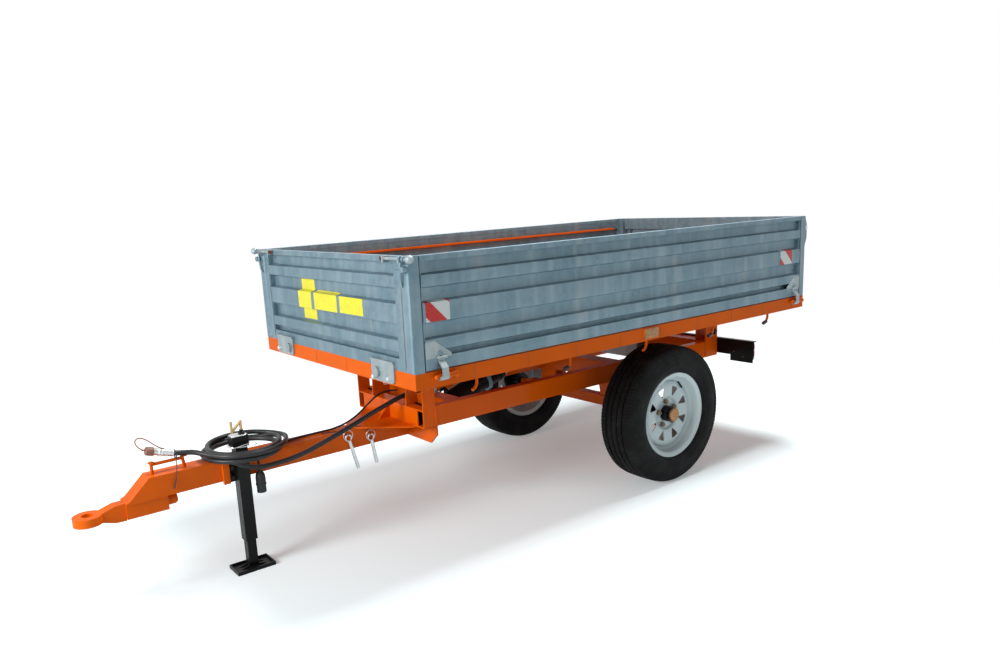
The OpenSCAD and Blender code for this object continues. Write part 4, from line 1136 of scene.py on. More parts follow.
@dataclass
class Wheel:
    """A white steel wheel: stepped rim, and a dished disc with eight windows."""

    side: Side
    track_half: float = 0.508
    rim_profile: tuple[Point2, ...] = (
        (0.1950, -0.0800), (0.1950, -0.0750), (0.1780, -0.0700), (0.1750, -0.0520),
        (0.1540, -0.0360), (0.1540, 0.0260), (0.1720, 0.0460), (0.1750, 0.0500), (0.1780, 0.0700),
        (0.1950, 0.0750), (0.1955, 0.0790), (0.1940, 0.0815), (0.1912, 0.0820), (0.1890, 0.0805),
        (0.1765, 0.0755), (0.1742, 0.0730), (0.1735, 0.0660), (0.1708, 0.0630), (0.1704, 0.0570),
        (0.1676, 0.0540), (0.1672, 0.0480), (0.1640, 0.0445), (0.1560, 0.0350), (0.1510, 0.0300),
        (0.1500, 0.0260), (0.1500, -0.0340), (0.1700, -0.0520), (0.1740, -0.0760),
        (0.1910, -0.0820))
    disc_rings: tuple[tuple[float, float, float], ...] = (
        (0.0345, 0.0262, 0.0015), (0.0480, 0.0262, 0.0015), (0.0640, 0.0262, 0.0015),
        (0.0700, 0.0276, 0.0015), (0.0745, 0.0330, 0.0015), (0.0780, 0.0368, 0.0015),
        (0.0815, 0.0380, 0.0015), (0.0840, 0.0384, 0.0015), (0.0865, 0.0388, 0.0042),
        (0.0980, 0.0400, 0.0090), (0.1100, 0.0412, 0.0145), (0.1205, 0.0422, 0.0192),
        (0.1250, 0.0424, 0.0196), (0.1272, 0.0424, 0.0165), (0.1310, 0.0422, 0.0165),
        (0.1390, 0.0405, 0.0165), (0.1460, 0.0368, 0.0165), (0.1500, 0.0335, 0.0165))
    window_rings: tuple[int, int] = (7, 13)
    windows: int = 8
    sheet: float = 0.0036

    def build(self) -> None:
        """Spin the rim and press the disc."""
        low, high = (Vector(c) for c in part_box(f"wheel_{self.side.word}"))
        middle = (low + high) / 2.0
        self.centre = (middle.x, self.side.value * self.track_half, middle.z)
        body = f"{self.side.word}_wheel"
        rim = Former(f"rim_{self.side.word}", WHITE, body, "white_paint")
        rim.lathe(self.rim_profile, self.centre, (0.0, self.side.value, 0.0), 112)
        rim.lathe(((0.1512, 0.0318), (0.1502, 0.0352), (0.1478, 0.0368), (0.1462, 0.0352),
                   (0.1475, 0.0325)), self.centre, (0.0, self.side.value, 0.0), 112)
        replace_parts(rim.finished(smooth_angle=50.0), f"wheel_{self.side.word}")
        self.disc(body)

    def disc(self, body: str) -> None:
        """Press the disc with its windows, then give it the sheet's thickness.

        Args:
            body: The wheel's body.
        """
        disc = Former(f"wheel_disc_{self.side.word}", WHITE, body, "white_paint")
        sector = 2.0 * math.pi / self.windows
        points: list[Point] = []
        for radius, out, half in self.disc_rings:
            w = half / radius
            middle = (sector / 2.0 + w) / 2.0
            for k in range(self.windows):
                axis = sector * (k + 0.5)
                for turn in (-sector / 2.0, -middle, -w, -w / 2.0, 0.0, w / 2.0, w, middle):
                    points.append((self.centre[0] + radius * math.cos(axis + turn),
                                   self.centre[1] + self.side.value * out,
                                   self.centre[2] + radius * math.sin(axis + turn)))
        around = 8 * self.windows
        faces: list[Face] = []
        first, last = self.window_rings
        for i in range(len(self.disc_rings) - 1):
            for k in range(around):
                if first <= i < last and 2 <= k % 8 < 6:
                    continue
                n = (k + 1) % around
                faces.append((i * around + k, i * around + n, (i + 1) * around + n,
                              (i + 1) * around + k))
        disc.add(points, faces)
        piece = disc.finished(smooth_angle=60.0)
        thick = piece.modifiers.new("sheet", "SOLIDIFY")
        thick.thickness = self.sheet
        thick.offset = 0.0
        edges = piece.modifiers.new("edge rounding", "BEVEL")
        edges.width = 0.0006
        edges.segments = 2
        edges.limit_method = "ANGLE"
        edges.angle_limit = math.radians(60.0)


@dataclass
class WheelTrim:
    """Nuts, studs, bearing cap and valve of one wheel."""

    side: Side
    bolt_circle: float = 0.056
    studs: int = 5
    first_angle: float = 59.0
    disc_face: float = 0.028
    hub_end: float = 0.077
    track_half: float = 0.508

    def build(self) -> None:
        """Fit the trim to its wheel."""
        low, high = (Vector(c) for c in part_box(f"wheel_{self.side.word}"))
        self.centre = (low + high) / 2.0
        self.body = f"{self.side.word}_wheel"
        self.out = (0.0, float(self.side.value), 0.0)
        self.nuts()
        self.cap()
        self.valve()

    def place(self, across: float, up: float, outward: float) -> Point:
        """Give a place by its distance ahead of, above and outside the wheel's middle."""
        return (self.centre.x + across, self.side.value * (self.track_half + outward),
                self.centre.z + up)

    def nuts(self) -> None:
        """Screw the nuts on their studs."""
        nuts = Former(f"wheel_nuts_{self.side.word}", DARK_NUT, self.body, "yellow_zinc")
        for k in range(self.studs):
            a = math.radians(self.first_angle + 360.0 * k / self.studs)
            seat = self.place(self.bolt_circle * math.cos(a), -self.bolt_circle * math.sin(a),
                              self.disc_face)
            nuts.lathe(((0.0, -0.002), (0.0085, -0.002), (0.0110, 0.003), (0.0110, 0.004),
                        (0.0, 0.004)), seat, self.out, 24)
            nuts.lathe(((0.0, 0.003), (0.0112, 0.003), (0.0112, 0.0145), (0.0096, 0.0165),
                        (0.0064, 0.0165), (0.0060, 0.015), (0.0, 0.015)), seat, self.out, 6)
            nuts.lathe(((0.0, 0.010), (0.0056, 0.010), (0.0056, 0.0195), (0.0044, 0.0215),
                        (0.0, 0.0215)), seat, self.out, 20)
        nuts.finished(0.0005)

    def cap(self) -> None:
        """Press the passivated cap on the hub, its face dished and ringed."""
        cap = Former(f"bearing_cap_{self.side.word}", CAP_BRASS, self.body, "yellow_zinc")
        seat = self.place(0.0, 0.0, self.hub_end)
        cap.lathe(((0.0, -0.004), (0.0302, -0.004), (0.0308, -0.003), (0.0308, 0.0),
                   (0.0290, 0.0045), (0.0262, 0.0060), (0.0248, 0.0052), (0.0236, 0.0040),
                   (0.0140, 0.0040), (0.0125, 0.0052), (0.0110, 0.0052), (0.0098, 0.0036),
                   (0.0, 0.0030)), seat, self.out, 48)
        cap.finished()

    def valve(self) -> None:
        """Stand the rubber valve in the rim's well."""
        valve = Former(f"tyre_valve_{self.side.word}", PLASTIC, self.body, "black_plastic")
        foot = self.place(-0.083, 0.1345, 0.030)
        axis = (0.0, self.side.value * 0.66, -0.70)
        valve.lathe(((0.0, -0.004), (0.0082, -0.003), (0.0075, 0.002), (0.0048, 0.006),
                     (0.0042, 0.024), (0.0052, 0.0245), (0.0052, 0.034), (0.0040, 0.036),
                     (0.0, 0.036)), foot, axis, 20)
        valve.finished(0.0003)


@dataclass(frozen=True)
class BoardFace:
    """The pressed face of a board: flat ribs with recesses between, by height."""

    foot: float
    height: float
    depth: float = 0.021
    slant: float = 0.006
    ribs: tuple[tuple[float, float], ...] = ((0.17, 0.27), (0.42, 0.59), (0.73, 0.83))

    def bends(self) -> list[tuple[float, float]]:
        """List the heights at which the face bends, with the depth there."""
        result: list[tuple[float, float]] = []
        for low, high in self.ribs:
            bottom, top = self.foot + low * self.height, self.foot + high * self.height
            result += [(bottom - self.slant, self.depth), (bottom, 0.0), (top, 0.0),
                       (top + self.slant, self.depth)]
        return result

    def depth_at(self, z: float) -> float:
        """Give how far behind the outermost face the sheet lies at a height.

        Args:
            z: The height.

        Returns:
            The depth.
        """
        bends = self.bends()
        for (z0, d0), (z1, d1) in zip(bends, bends[1:]):
            if z0 <= z <= z1:
                return d0 + (d1 - d0) * (z - z0) / (z1 - z0)
        return self.depth

    def heights(self, low: float, high: float) -> list[float]:
        """List the heights that a strip between two heights needs.

        Args:
            low: Where it starts.
            high: Where it ends.

        Returns:
            The heights, ends included.
        """
        return [low, *(z for z, _ in self.bends() if low + 1e-4 < z < high - 1e-4), high]


@dataclass
class RibbedBoard:
    """A drop side: pressed sheet between a foot and a head rail, with its hanging pins."""

    side: Side
    sheet: float = 0.002
    rail_depth: float = 0.024
    foot_share: float = 0.11
    head_share: float = 0.95
    end_width: float = 0.004
    bend: float = 0.0030
    pin_length: float = 0.014
    pin_d: float = 0.012
    pin_drop: float = 0.014

    def build(self) -> None:
        """Press the sheet and close it with rails and ends."""
        node = f"side_board_{self.side.word}"
        low, high = (Vector(c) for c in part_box(node))
        face = high.y if self.side is Side.LEFT else low.y
        x0, x1 = low.x + self.pin_length, high.x - self.pin_length
        shape = BoardFace(low.z, high.z - low.z)
        body = f"{self.side.word}_side"
        s = self.side.value
        panel = Former(f"ribbed_panel_{self.side.word}", ZINC, body, "galvanised")
        outer = self.rounded(shape)
        inner = [(d + self.sheet, z) for d, z in reversed(outer)]
        panel.slab([(x0 + 0.0005, face - s * d, z) for d, z in (*outer, *inner)],
                   (x1 - x0 - 0.001, 0.0, 0.0))
        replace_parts(panel.finished(smooth_angle=35.0), node)
        rails = Former(f"board_rails_{self.side.word}", ZINC, body, "galvanised")
        middle = face - s * self.rail_depth / 2.0
        tall = high.z - low.z
        foot, head = self.foot_share * tall, self.head_share * tall
        length = x1 - x0
        for z0, z1 in ((0.0, foot), (head, tall)):
            rails.plate(((x0 + x1) / 2.0, middle, low.z + (z0 + z1) / 2.0),
                        (length, self.rail_depth, z1 - z0))
        for x in (x0 + self.end_width / 2.0, x1 - self.end_width / 2.0):
            rails.plate((x, face - s * (self.rail_depth + 0.004) / 2.0, low.z + (foot + head) / 2.0),
                        (self.end_width, self.rail_depth - 0.004, head - foot + 0.002))
            out = self.pin_length * (1.0 if x > (x0 + x1) / 2.0 else -1.0)
            edge = x1 if out > 0.0 else x0
            rails.wire([(edge - 0.2 * out, middle, high.z - self.pin_drop),
                        (edge + out, middle, high.z - self.pin_drop)], self.pin_d / 2.0, 20)
        rails.finished(0.0011)

    def rounded(self, shape: BoardFace) -> list[Point2]:
        """List the sheet's outer face with every bend rounded.

        Args:
            shape: The board's ribs and recesses.

        Returns:
            Pairs of depth and height, from the foot rail to the head rail.
        """
        tall = shape.height
        line = [Vector((shape.depth, shape.foot + self.foot_share * tall - 0.001)),
                *(Vector((d, z)) for z, d in shape.bends()),
                Vector((shape.depth, shape.foot + self.head_share * tall + 0.001))]
        result = [tuple(line[0])]
        for a, b, c in zip(line, line[1:], line[2:]):
            start = b + (a - b).normalized() * self.bend
            end = b + (c - b).normalized() * self.bend
            result += [tuple(start), tuple(b * 0.5 + (start + end) * 0.25), tuple(end)]
        result.append(tuple(line[-1]))
        return result


@dataclass
class Boards:
    """Tapes, blank labels, gussets, post faces and bolts on the galvanised boards."""

    layout: Layout
    gusset_t: float = 0.0026
    edge_inset: float = 0.0145
    gusset_outline: tuple[Point2, ...] = ((0.0, 0.040), (0.0, 0.092), (0.006, 0.100), (0.038, 0.100),
                                          (0.108, 0.049), (0.110, 0.040))
    strip_y: Point2 = (0.524, 0.5605)
    post_bulge: float = 0.0065
    bar_z: float = 1.0905
    bar_inset: float = 0.060
    film: float = 0.0006
    tape_width: float = 0.100
    tape_low: float = 0.920
    tape_high: float = 0.9925
    tape_red: Colour = (0.52, 0.010, 0.008)
    tape_edges: tuple[tuple[str, float, float], ...] = (("front", 1.335, -0.397),
                                                        ("rear", -0.769, 1.656))
    labels: tuple[tuple[float, float, float, float], ...] = (
        (-0.246, -0.129, 0.868, 1.033), (-0.104, 0.089, 0.918, 0.9925), (0.112, 0.289, 0.921, 0.985))

    def build(self) -> None:
        """Dress all four boards."""
        low, high = (Vector(c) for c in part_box("side_board_left"))
        self.side_face = BoardFace(low.z, high.z - low.z)
        low_front, high_front = (Vector(c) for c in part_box("front_board"))
        self.front_face = BoardFace(low_front.z, high_front.z - low_front.z)
        self.outer_y = high.y
        self.front_x = high_front.x
        for side in Side:
            self.tapes(side)
            self.gussets(side)
        self.blank_labels()
        self.post_faces()
        self.inner_bars()
        self.post_bolts()

    def tapes(self, side: Side) -> None:
        """Stick the two banded tapes on a side board.

        Args:
            side: Which board.
        """
        for place, edge, band in self.tape_edges:
            finish = WarningTape(f"warning_tape_{place}", self.tape_red,
                                 start=band - self.layout.axle_x)
            tape = Former(f"tape_{place}_{side.word}", finish, f"{side.word}_side", "white_paint")
            start = self.layout.at(edge, 0.0, 0.0)[0]
            path = [(start, side.value * (self.outer_y - self.side_face.depth_at(z)), z)
                    for z in self.side_face.heights(self.tape_low, self.tape_high)]
            tape.strip(path, (-self.tape_width, 0.0, 0.0), (0.0, side.value * self.film, 0.0))
            tape.finished()

    def blank_labels(self) -> None:
        """Stick the plain yellow labels on the front board, pressed into its recesses."""
        for number, (y0, y1, z0, z1) in enumerate(self.labels, 1):
            label = Former(f"blank_label_{number}", LABEL, "bed", "white_paint")
            path = [(self.front_x - self.front_face.depth_at(z), y0, z)
                    for z in self.front_face.heights(z0, z1)]
            label.strip(path, (0.0, y1 - y0, 0.0), (self.film, 0.0, 0.0))
            label.finished()

    def gussets(self, side: Side) -> None:
        """Weld the corner gussets over the lowest recess of a side board.

        Args:
            side: Which board.
        """
        gussets = Former(f"board_gussets_{side.word}", PALE_ZINC, f"{side.word}_side", "galvanised")
        low, high = (Vector(c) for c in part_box(f"side_board_{side.word}"))
        y = side.value * (self.outer_y - 0.0005)
        push = (0.0, side.value * self.gusset_t, 0.0)
        foot = self.side_face.foot
        for edge, inward in ((low.x + self.edge_inset, 1.0), (high.x - self.edge_inset, -1.0)):
            outline = [(edge + inward * a, y, foot + b) for a, b in self.gusset_outline]
            gussets.slab(outline, push)
            a, b = (outline[k] for k in (3, 4))
            gussets.bead((a[0], y + push[1] * 0.5, a[2]), (b[0], y + push[1] * 0.5, b[2]), 0.0022)
        gussets.finished(0.0006)

    def post_faces(self) -> None:
        """Close the front board's ends with flat strips and round the front of its posts."""
        trim = Former("front_post_faces", ZINC, "bed", "galvanised")
        low, high = (Vector(c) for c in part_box("corner_posts"))
        foot, tall = low.z + 0.003, high.z - low.z - 0.030
        x = self.front_x - 0.0005
        for side in Side:
            s = side.value
            outline = [(x, s * self.strip_y[0], foot + 0.012), (x, s * self.strip_y[1], foot + 0.012),
                       (x + 0.0026, s * self.strip_y[1], foot + 0.012),
                       (x + 0.0026, s * self.strip_y[0], foot + 0.012)]
            trim.slab(outline, (0.0, 0.0, tall - 0.030))
            middle = (self.strip_y[1] + self.outer_y) / 2.0 + 0.0015
            half = self.outer_y - middle - 0.0005
            arc = [(x + self.post_bulge * math.sin(math.pi * k / 12),
                    s * (middle - half * math.cos(math.pi * k / 12)), foot) for k in range(13)]
            trim.slab(arc, (0.0, 0.0, tall))
        trim.finished(0.0004)

    def inner_bars(self) -> None:
        """Run the orange stiffening bars along the inner faces of the side boards."""
        for side in Side:
            bar = Former(f"inner_bar_{side.word}", ORANGE, f"{side.word}_side", "orange_paint")
            low, high = (Vector(c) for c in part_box(f"side_board_{side.word}"))
            inner = low.y if side is Side.LEFT else high.y
            length = high.x - low.x - 2.0 * self.bar_inset
            bar.plate(((low.x + high.x) / 2.0, inner - side.value * 0.0012, self.bar_z),
                      (length, 0.0040, 0.0105))
            bar.finished(0.0008)

    def post_bolts(self) -> None:
        """Set the hinge bolts on the rear posts."""
        bolts = Former("post_bolts", STEEL, "bed", "plated_steel")
        low, high = (Vector(c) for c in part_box("corner_posts"))
        for side in Side:
            hinge = (low.x + 0.014, side.value * (self.outer_y - 0.006), high.z - 0.060)
            bolts.bolt(hinge, (0.0, float(side.value), 0.0), 0.010)
        bolts.finished(0.0005)


@dataclass
class LatchTrim:
    """Pivot pins of the latches, with the lever's fittings on the front board."""

    layout: Layout
    lever_length: float = 0.160

    def build(self) -> None:
        """Dress the latches and the levers."""
        for side in Side:
            self.strap_pins(side)
            self.lever_parts(side)

    def strap_pins(self, side: Side) -> None:
        """Set the cross pins and rivet heads on the two latches of one side.

        Args:
            side: Which side.
        """
        node = f"latches_{side.word}"
        low, high = (Vector(c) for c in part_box(node))
        pins = Former(f"latch_pins_{side.word}", ZINC, f"{side.word}_side", "galvanised")
        face = side.value * (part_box("corner_posts")[1][1] + 0.0035)
        for x in (low.x + 0.021, high.x - 0.021):
            pins.lathe(((0.0, -0.002), (0.0095, -0.002), (0.0095, 0.002), (0.0075, 0.0045),
                        (0.0, 0.0052)), (x, face, high.z - 0.008), (0.0, side.value, 0.0), 24)
        pins.finished(0.0004)

    def lever_parts(self, side: Side) -> None:
        """Give a corner lever its rusted inner nut, its collar and the tongue below its ball.

        Args:
            side: Which end of the front board.
        """
        low, high = (Vector(c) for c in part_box("corner_levers"))
        ball = (high.x - 0.015, side.value * (high.y - 0.015), high.z - 0.015)
        inner = (ball[0], ball[1] - side.value * self.lever_length, ball[2])
        nut = Former(f"lever_nut_{side.word}", RUST, "bed", "plated_steel")
        nut.lathe(((0.0, 0.0), (0.0085, 0.0), (0.0092, 0.001), (0.0092, 0.007), (0.0082, 0.008),
                   (0.0, 0.008)), (inner[0], inner[1] - side.value * 0.010, inner[2]),
                  (0.0, -side.value, 0.0), 6)
        nut.finished(0.0004)
        collar = Former(f"lever_collar_{side.word}", ZINC, "bed", "galvanised")
        for reach in (0.034, 0.052):
            collar.lathe(((0.0, -0.004), (0.0098, -0.004), (0.0104, -0.003), (0.0104, 0.003),
                          (0.0098, 0.004), (0.0, 0.004)),
                         (ball[0], ball[1] - side.value * reach, ball[2]), (0.0, side.value, 0.0), 28)
        collar.lathe(((0.0, 0.0), (0.0100, 0.0), (0.0110, 0.0015), (0.0110, 0.020), (0.0100, 0.0215),
                      (0.0, 0.0215)), (ball[0] - 0.010, side.value * 0.603, ball[2] - 0.034),
                     (1.0, 0.0, 0.0), 28)
        tongue = [(ball[0] + 0.002, side.value * 0.588, ball[2] - 0.010),
                  (ball[0] + 0.003, side.value * 0.586, ball[2] - 0.045),
                  (ball[0] + 0.001, side.value * 0.582, ball[2] - 0.075),
                  (ball[0] - 0.004, side.value * 0.579, ball[2] - 0.094)]
        collar.wire(tongue, 0.0042, 12)
        collar.finished(0.0004)


@dataclass
class BedTrim:
    """Rubber tips of the rope hooks, rail seams, bracket discs and bolts, and the side lenses."""

    layout: Layout
    seam_pitch: float = 0.253
    hook_shares: tuple[float, ...] = (0.115, 0.3125, 0.5025, 0.698, 0.8815)
    tipped: tuple[int, ...] = (1, 3, 4)
    hook_radius: float = 0.030
    hook_bend: float = 75.0
    hook_drop: float = 0.014
    bracket_y: float = 0.410
    bracket_w: float = 0.154

    def build(self) -> None:
        """Dress the bed."""
        self.low, self.high = (Vector(c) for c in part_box("bed_floor"))
        rail = 0.0453
        self.front = self.high.x + rail
        self.rear = self.low.x - rail
        self.half = self.high.y + rail
        self.rail_top = self.high.z
        self.rail_foot = self.high.z - 0.058
        for side in Side:
            self.hook_tips(side)
            self.lens(side)
        self.seams()
        self.brackets()
        self.floor_welds()

    def hook_tips(self, side: Side) -> None:
        """Push the black sleeves on the rope hooks that have them.

        Args:
            side: Which side.
        """
        tips = Former(f"hook_tips_{side.word}", PLASTIC, "bed", "black_plastic")
        length = self.front - self.rear
        turn = math.radians(180.0 + self.hook_bend)
        for k in self.tipped:
            root = self.front - self.hook_shares[k] * length
            end = (root + self.hook_radius + self.hook_radius * math.cos(turn),
                   side.value * (self.half - 0.018),
                   self.rail_foot - self.hook_drop + self.hook_radius * math.sin(turn))
            axis = (-math.sin(turn), 0.0, math.cos(turn))
            tips.lathe(((0.0, -0.014), (0.0072, -0.014), (0.0080, -0.012), (0.0084, 0.010),
                        (0.0074, 0.0135), (0.0, 0.015)), end, axis, 24)
        tips.finished(0.0003)

    def seams(self) -> None:
        """Mark the joints of the folded rail along both sides and the front."""
        seams = Former("rail_seams", SEAM, "bed", "orange_paint")
        middle = (self.rail_top + self.rail_foot) / 2.0
        tall = self.rail_top - self.rail_foot - 0.006
        count = int((self.front - self.rear) / self.seam_pitch)
        for k in range(1, count + 1):
            x = self.front - k * self.seam_pitch
            for side in Side:
                seams.plate((x, side.value * (self.half + 0.0002), middle), (0.0014, 0.0007, tall))
        for y in (-0.127, 0.127):
            seams.plate((self.front + 0.0002, y, middle), (0.0007, 0.0014, tall))
        seams.finished()

    def brackets(self) -> None:
        """Bolt the front brackets and press their round plugs in."""
        bolts = Former("bracket_bolts", STEEL, "bed", "plated_steel")
        plugs = Former("bracket_plugs", RUST_ZINC, "bed", "galvanised")
        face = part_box("front_brackets")[1][0] - 0.003
        plate = self.front + 0.008
        for y in (-self.bracket_y, self.bracket_y):
            for aside, lift in ((-0.064, 0.016 if y > 0 else 0.024), (0.040, 0.022)):
                bolts.bolt((plate, y + aside, self.rail_foot + lift), (1.0, 0.0, 0.0), 0.010)
            disc = (face - 0.001, y - self.bracket_w / 4.0 * (1.0 if y > 0 else -1.0),
                    self.rail_foot + 0.038)
            plugs.lathe(((0.0, 0.0), (0.0188, 0.0), (0.0196, 0.001), (0.0188, 0.0030),
                         (0.0165, 0.0040), (0.0, 0.0036)), disc, (1.0, 0.0, 0.0), 40)
        bolts.finished(0.0006)
        plugs.finished()

    def lens(self, side: Side) -> None:
        """Frame the amber side lens.

        Args:
            side: Which side.
        """
        lens = Former(f"side_lens_{side.word}", SIDE_LENS, "bed", "amber_lens")
        x = self.layout.at(0.192, 0.0, 0.0)[0]
        z = self.rail_foot + 0.0315
        out = side.value
        y = self.half + 0.006
        lens.plate((x, out * (y + 0.0012), z), (0.084, 0.0024, 0.037))
        for k in range(9):
            lens.plate((x - 0.036 + 0.009 * k, out * (y + 0.0026), z), (0.0016, 0.0008, 0.033))
        lens.finished(0.0006)

    def floor_welds(self) -> None:
        """Run short weld beads where the bearers meet the long members."""
        welds = Former("bearer_welds", ORANGE, "bed", "orange_paint")
        low, high = (Vector(c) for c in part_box("bed_bearers"))
        z = high.z - 0.038
        count = int((self.front - self.rear) / self.seam_pitch) - 2
        for k in range(count):
            x = self.front - 0.007 - (k + 1) * self.seam_pitch
            for y in (-0.210, -0.170, 0.170, 0.210):
                welds.bead((x - 0.016, y, z), (x + 0.016, y, z), 0.003)
        welds.finished()


@dataclass
class ChassisTrim:
    """Weld beads, bolts, small steel parts and painted-shade plates on the chassis and the drawbar."""

    layout: Layout

    def build(self) -> None:
        """Dress the chassis."""
        self.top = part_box("drawbar")[1][2]
        self.beam_z0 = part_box("chassis_beams")[0][2]
        self.beam_z1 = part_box("chassis_beams")[1][2]
        self.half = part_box("chassis_beams")[1][1]
        self.welds()
        self.bolts()
        self.diamond()
        self.pin_hooks()

    def welds(self) -> None:
        """Run the weld beads that show."""
        at = self.layout.at
        welds = Former("chassis_welds", ORANGE, "chassis", "orange_paint")
        z0 = self.beam_z0
        for side in Side:
            s = side.value
            welds.bead(at(1.080, s * (self.half + 0.001), z0 + 0.006),
                       at(1.080, s * (self.half + 0.001), self.beam_z1 - 0.004), 0.0028)
            welds.bead(at(-0.665, s * (self.half + 0.001), z0 + 0.006),
                       at(-0.665, s * (self.half + 0.001), self.beam_z1 - 0.004), 0.0028)
            welds.bead(at(1.142, s * 0.204, z0 + 0.006), at(1.142, s * 0.048, z0 + 0.006), 0.003)
            welds.bead(at(1.150, s * 0.206, z0 + 0.0005), at(1.322, s * 0.046, z0 + 0.0005), 0.0026)
            welds.bead(at(1.086, s * 0.042, z0 - 0.075), at(1.086, s * 0.042, z0 - 0.004), 0.003)
            welds.bead(at(2.098, s * 0.030, z0 - 0.081), at(2.235, s * 0.030, z0 - 0.081), 0.003)
            for x in (-0.036, 0.036):
                welds.bead(at(x, s * 0.168, z0 - 0.089), at(x, s * 0.256, z0 - 0.089), 0.003)
                welds.bead(at(x, s * 0.154, z0 - 0.001), at(x, s * 0.257, z0 - 0.001), 0.003)
        for x in (2.014, 2.129):
            welds.lathe(((0.0, 0.0), (0.0125, 0.0), (0.0105, 0.0028), (0.0066, 0.0052), (0.0, 0.0052)),
                        at(x, 0.0, self.top - 0.0005), (0.0, 0.0, 1.0), 20)
        welds.bead(at(1.873, 0.0415, z0 - 0.078), at(1.873, 0.0415, z0 - 0.004), 0.003)
        welds.bead(at(1.893, 0.0415, z0 - 0.078), at(1.893, 0.0415, z0 - 0.004), 0.003)
        welds.finished()

    def bolts(self) -> None:
        """Set the bolts of the axle brackets and the stands."""
        at = self.layout.at
        bolts = Former("chassis_bolts", STEEL, "chassis", "plated_steel")
        for side in Side:
            s = side.value
            for x in (-0.022, 0.022):
                for y in (0.185, 0.240):
                    bolts.bolt(at(x, s * y, self.beam_z0 - 0.084), (0.0, 0.0, 1.0), 0.010)
            bolts.bolt(at(1.111, s * (self.half + 0.0), 0.600), (0.0, float(s), 0.0), 0.012)
            bolts.bolt(at(-0.715, s * (self.half + 0.0), 0.600), (0.0, float(s), 0.0), 0.012)
        bolts.finished(0.0005)

    def diamond(self) -> None:
        """Set the square-headed black stop on each rear stand, and a black painted-shade plate by each front
        one.
        """
        stop = Former("stand_stops", BLACK, "chassis", "black_paint")
        for side in Side:
            # Painted shade: a thin black sheet fills the dark gap between the front stand's plates, standing
            # in for the shadow there.
            stop.plate(self.layout.at(1.095, side.value * 0.190, (self.beam_z0 + self.beam_z1) / 2.0),
                       (0.002, 0.120, self.beam_z1 - self.beam_z0 - 0.004))
            seat = self.layout.at(-0.737, side.value * self.half, 0.560)
            stop.lathe(((0.0, -0.001), (0.0150, -0.001), (0.0158, 0.001), (0.0158, 0.010),
                        (0.0140, 0.012), (0.0, 0.012)), seat, (0.0, side.value, 0.0), 4)
        stop.finished(0.0006)

    def pin_hooks(self) -> None:
        """Hang the small wire rings of the locking pins."""
        rings = Former("pin_clips", STEEL, "chassis", "plated_steel")
        at = self.layout.at
        for x, z in ((1.371, 0.4005), (1.268, 0.3815)):
            circle = [at(x + 0.004 + 0.021 * math.cos(a), 0.056, z + 0.012 + 0.021 * math.sin(a))
                      for a in (2.0 * math.pi * k / 28 for k in range(28))]
            rings.wire(circle, 0.0011, 8, closed=True)
        rings.finished()


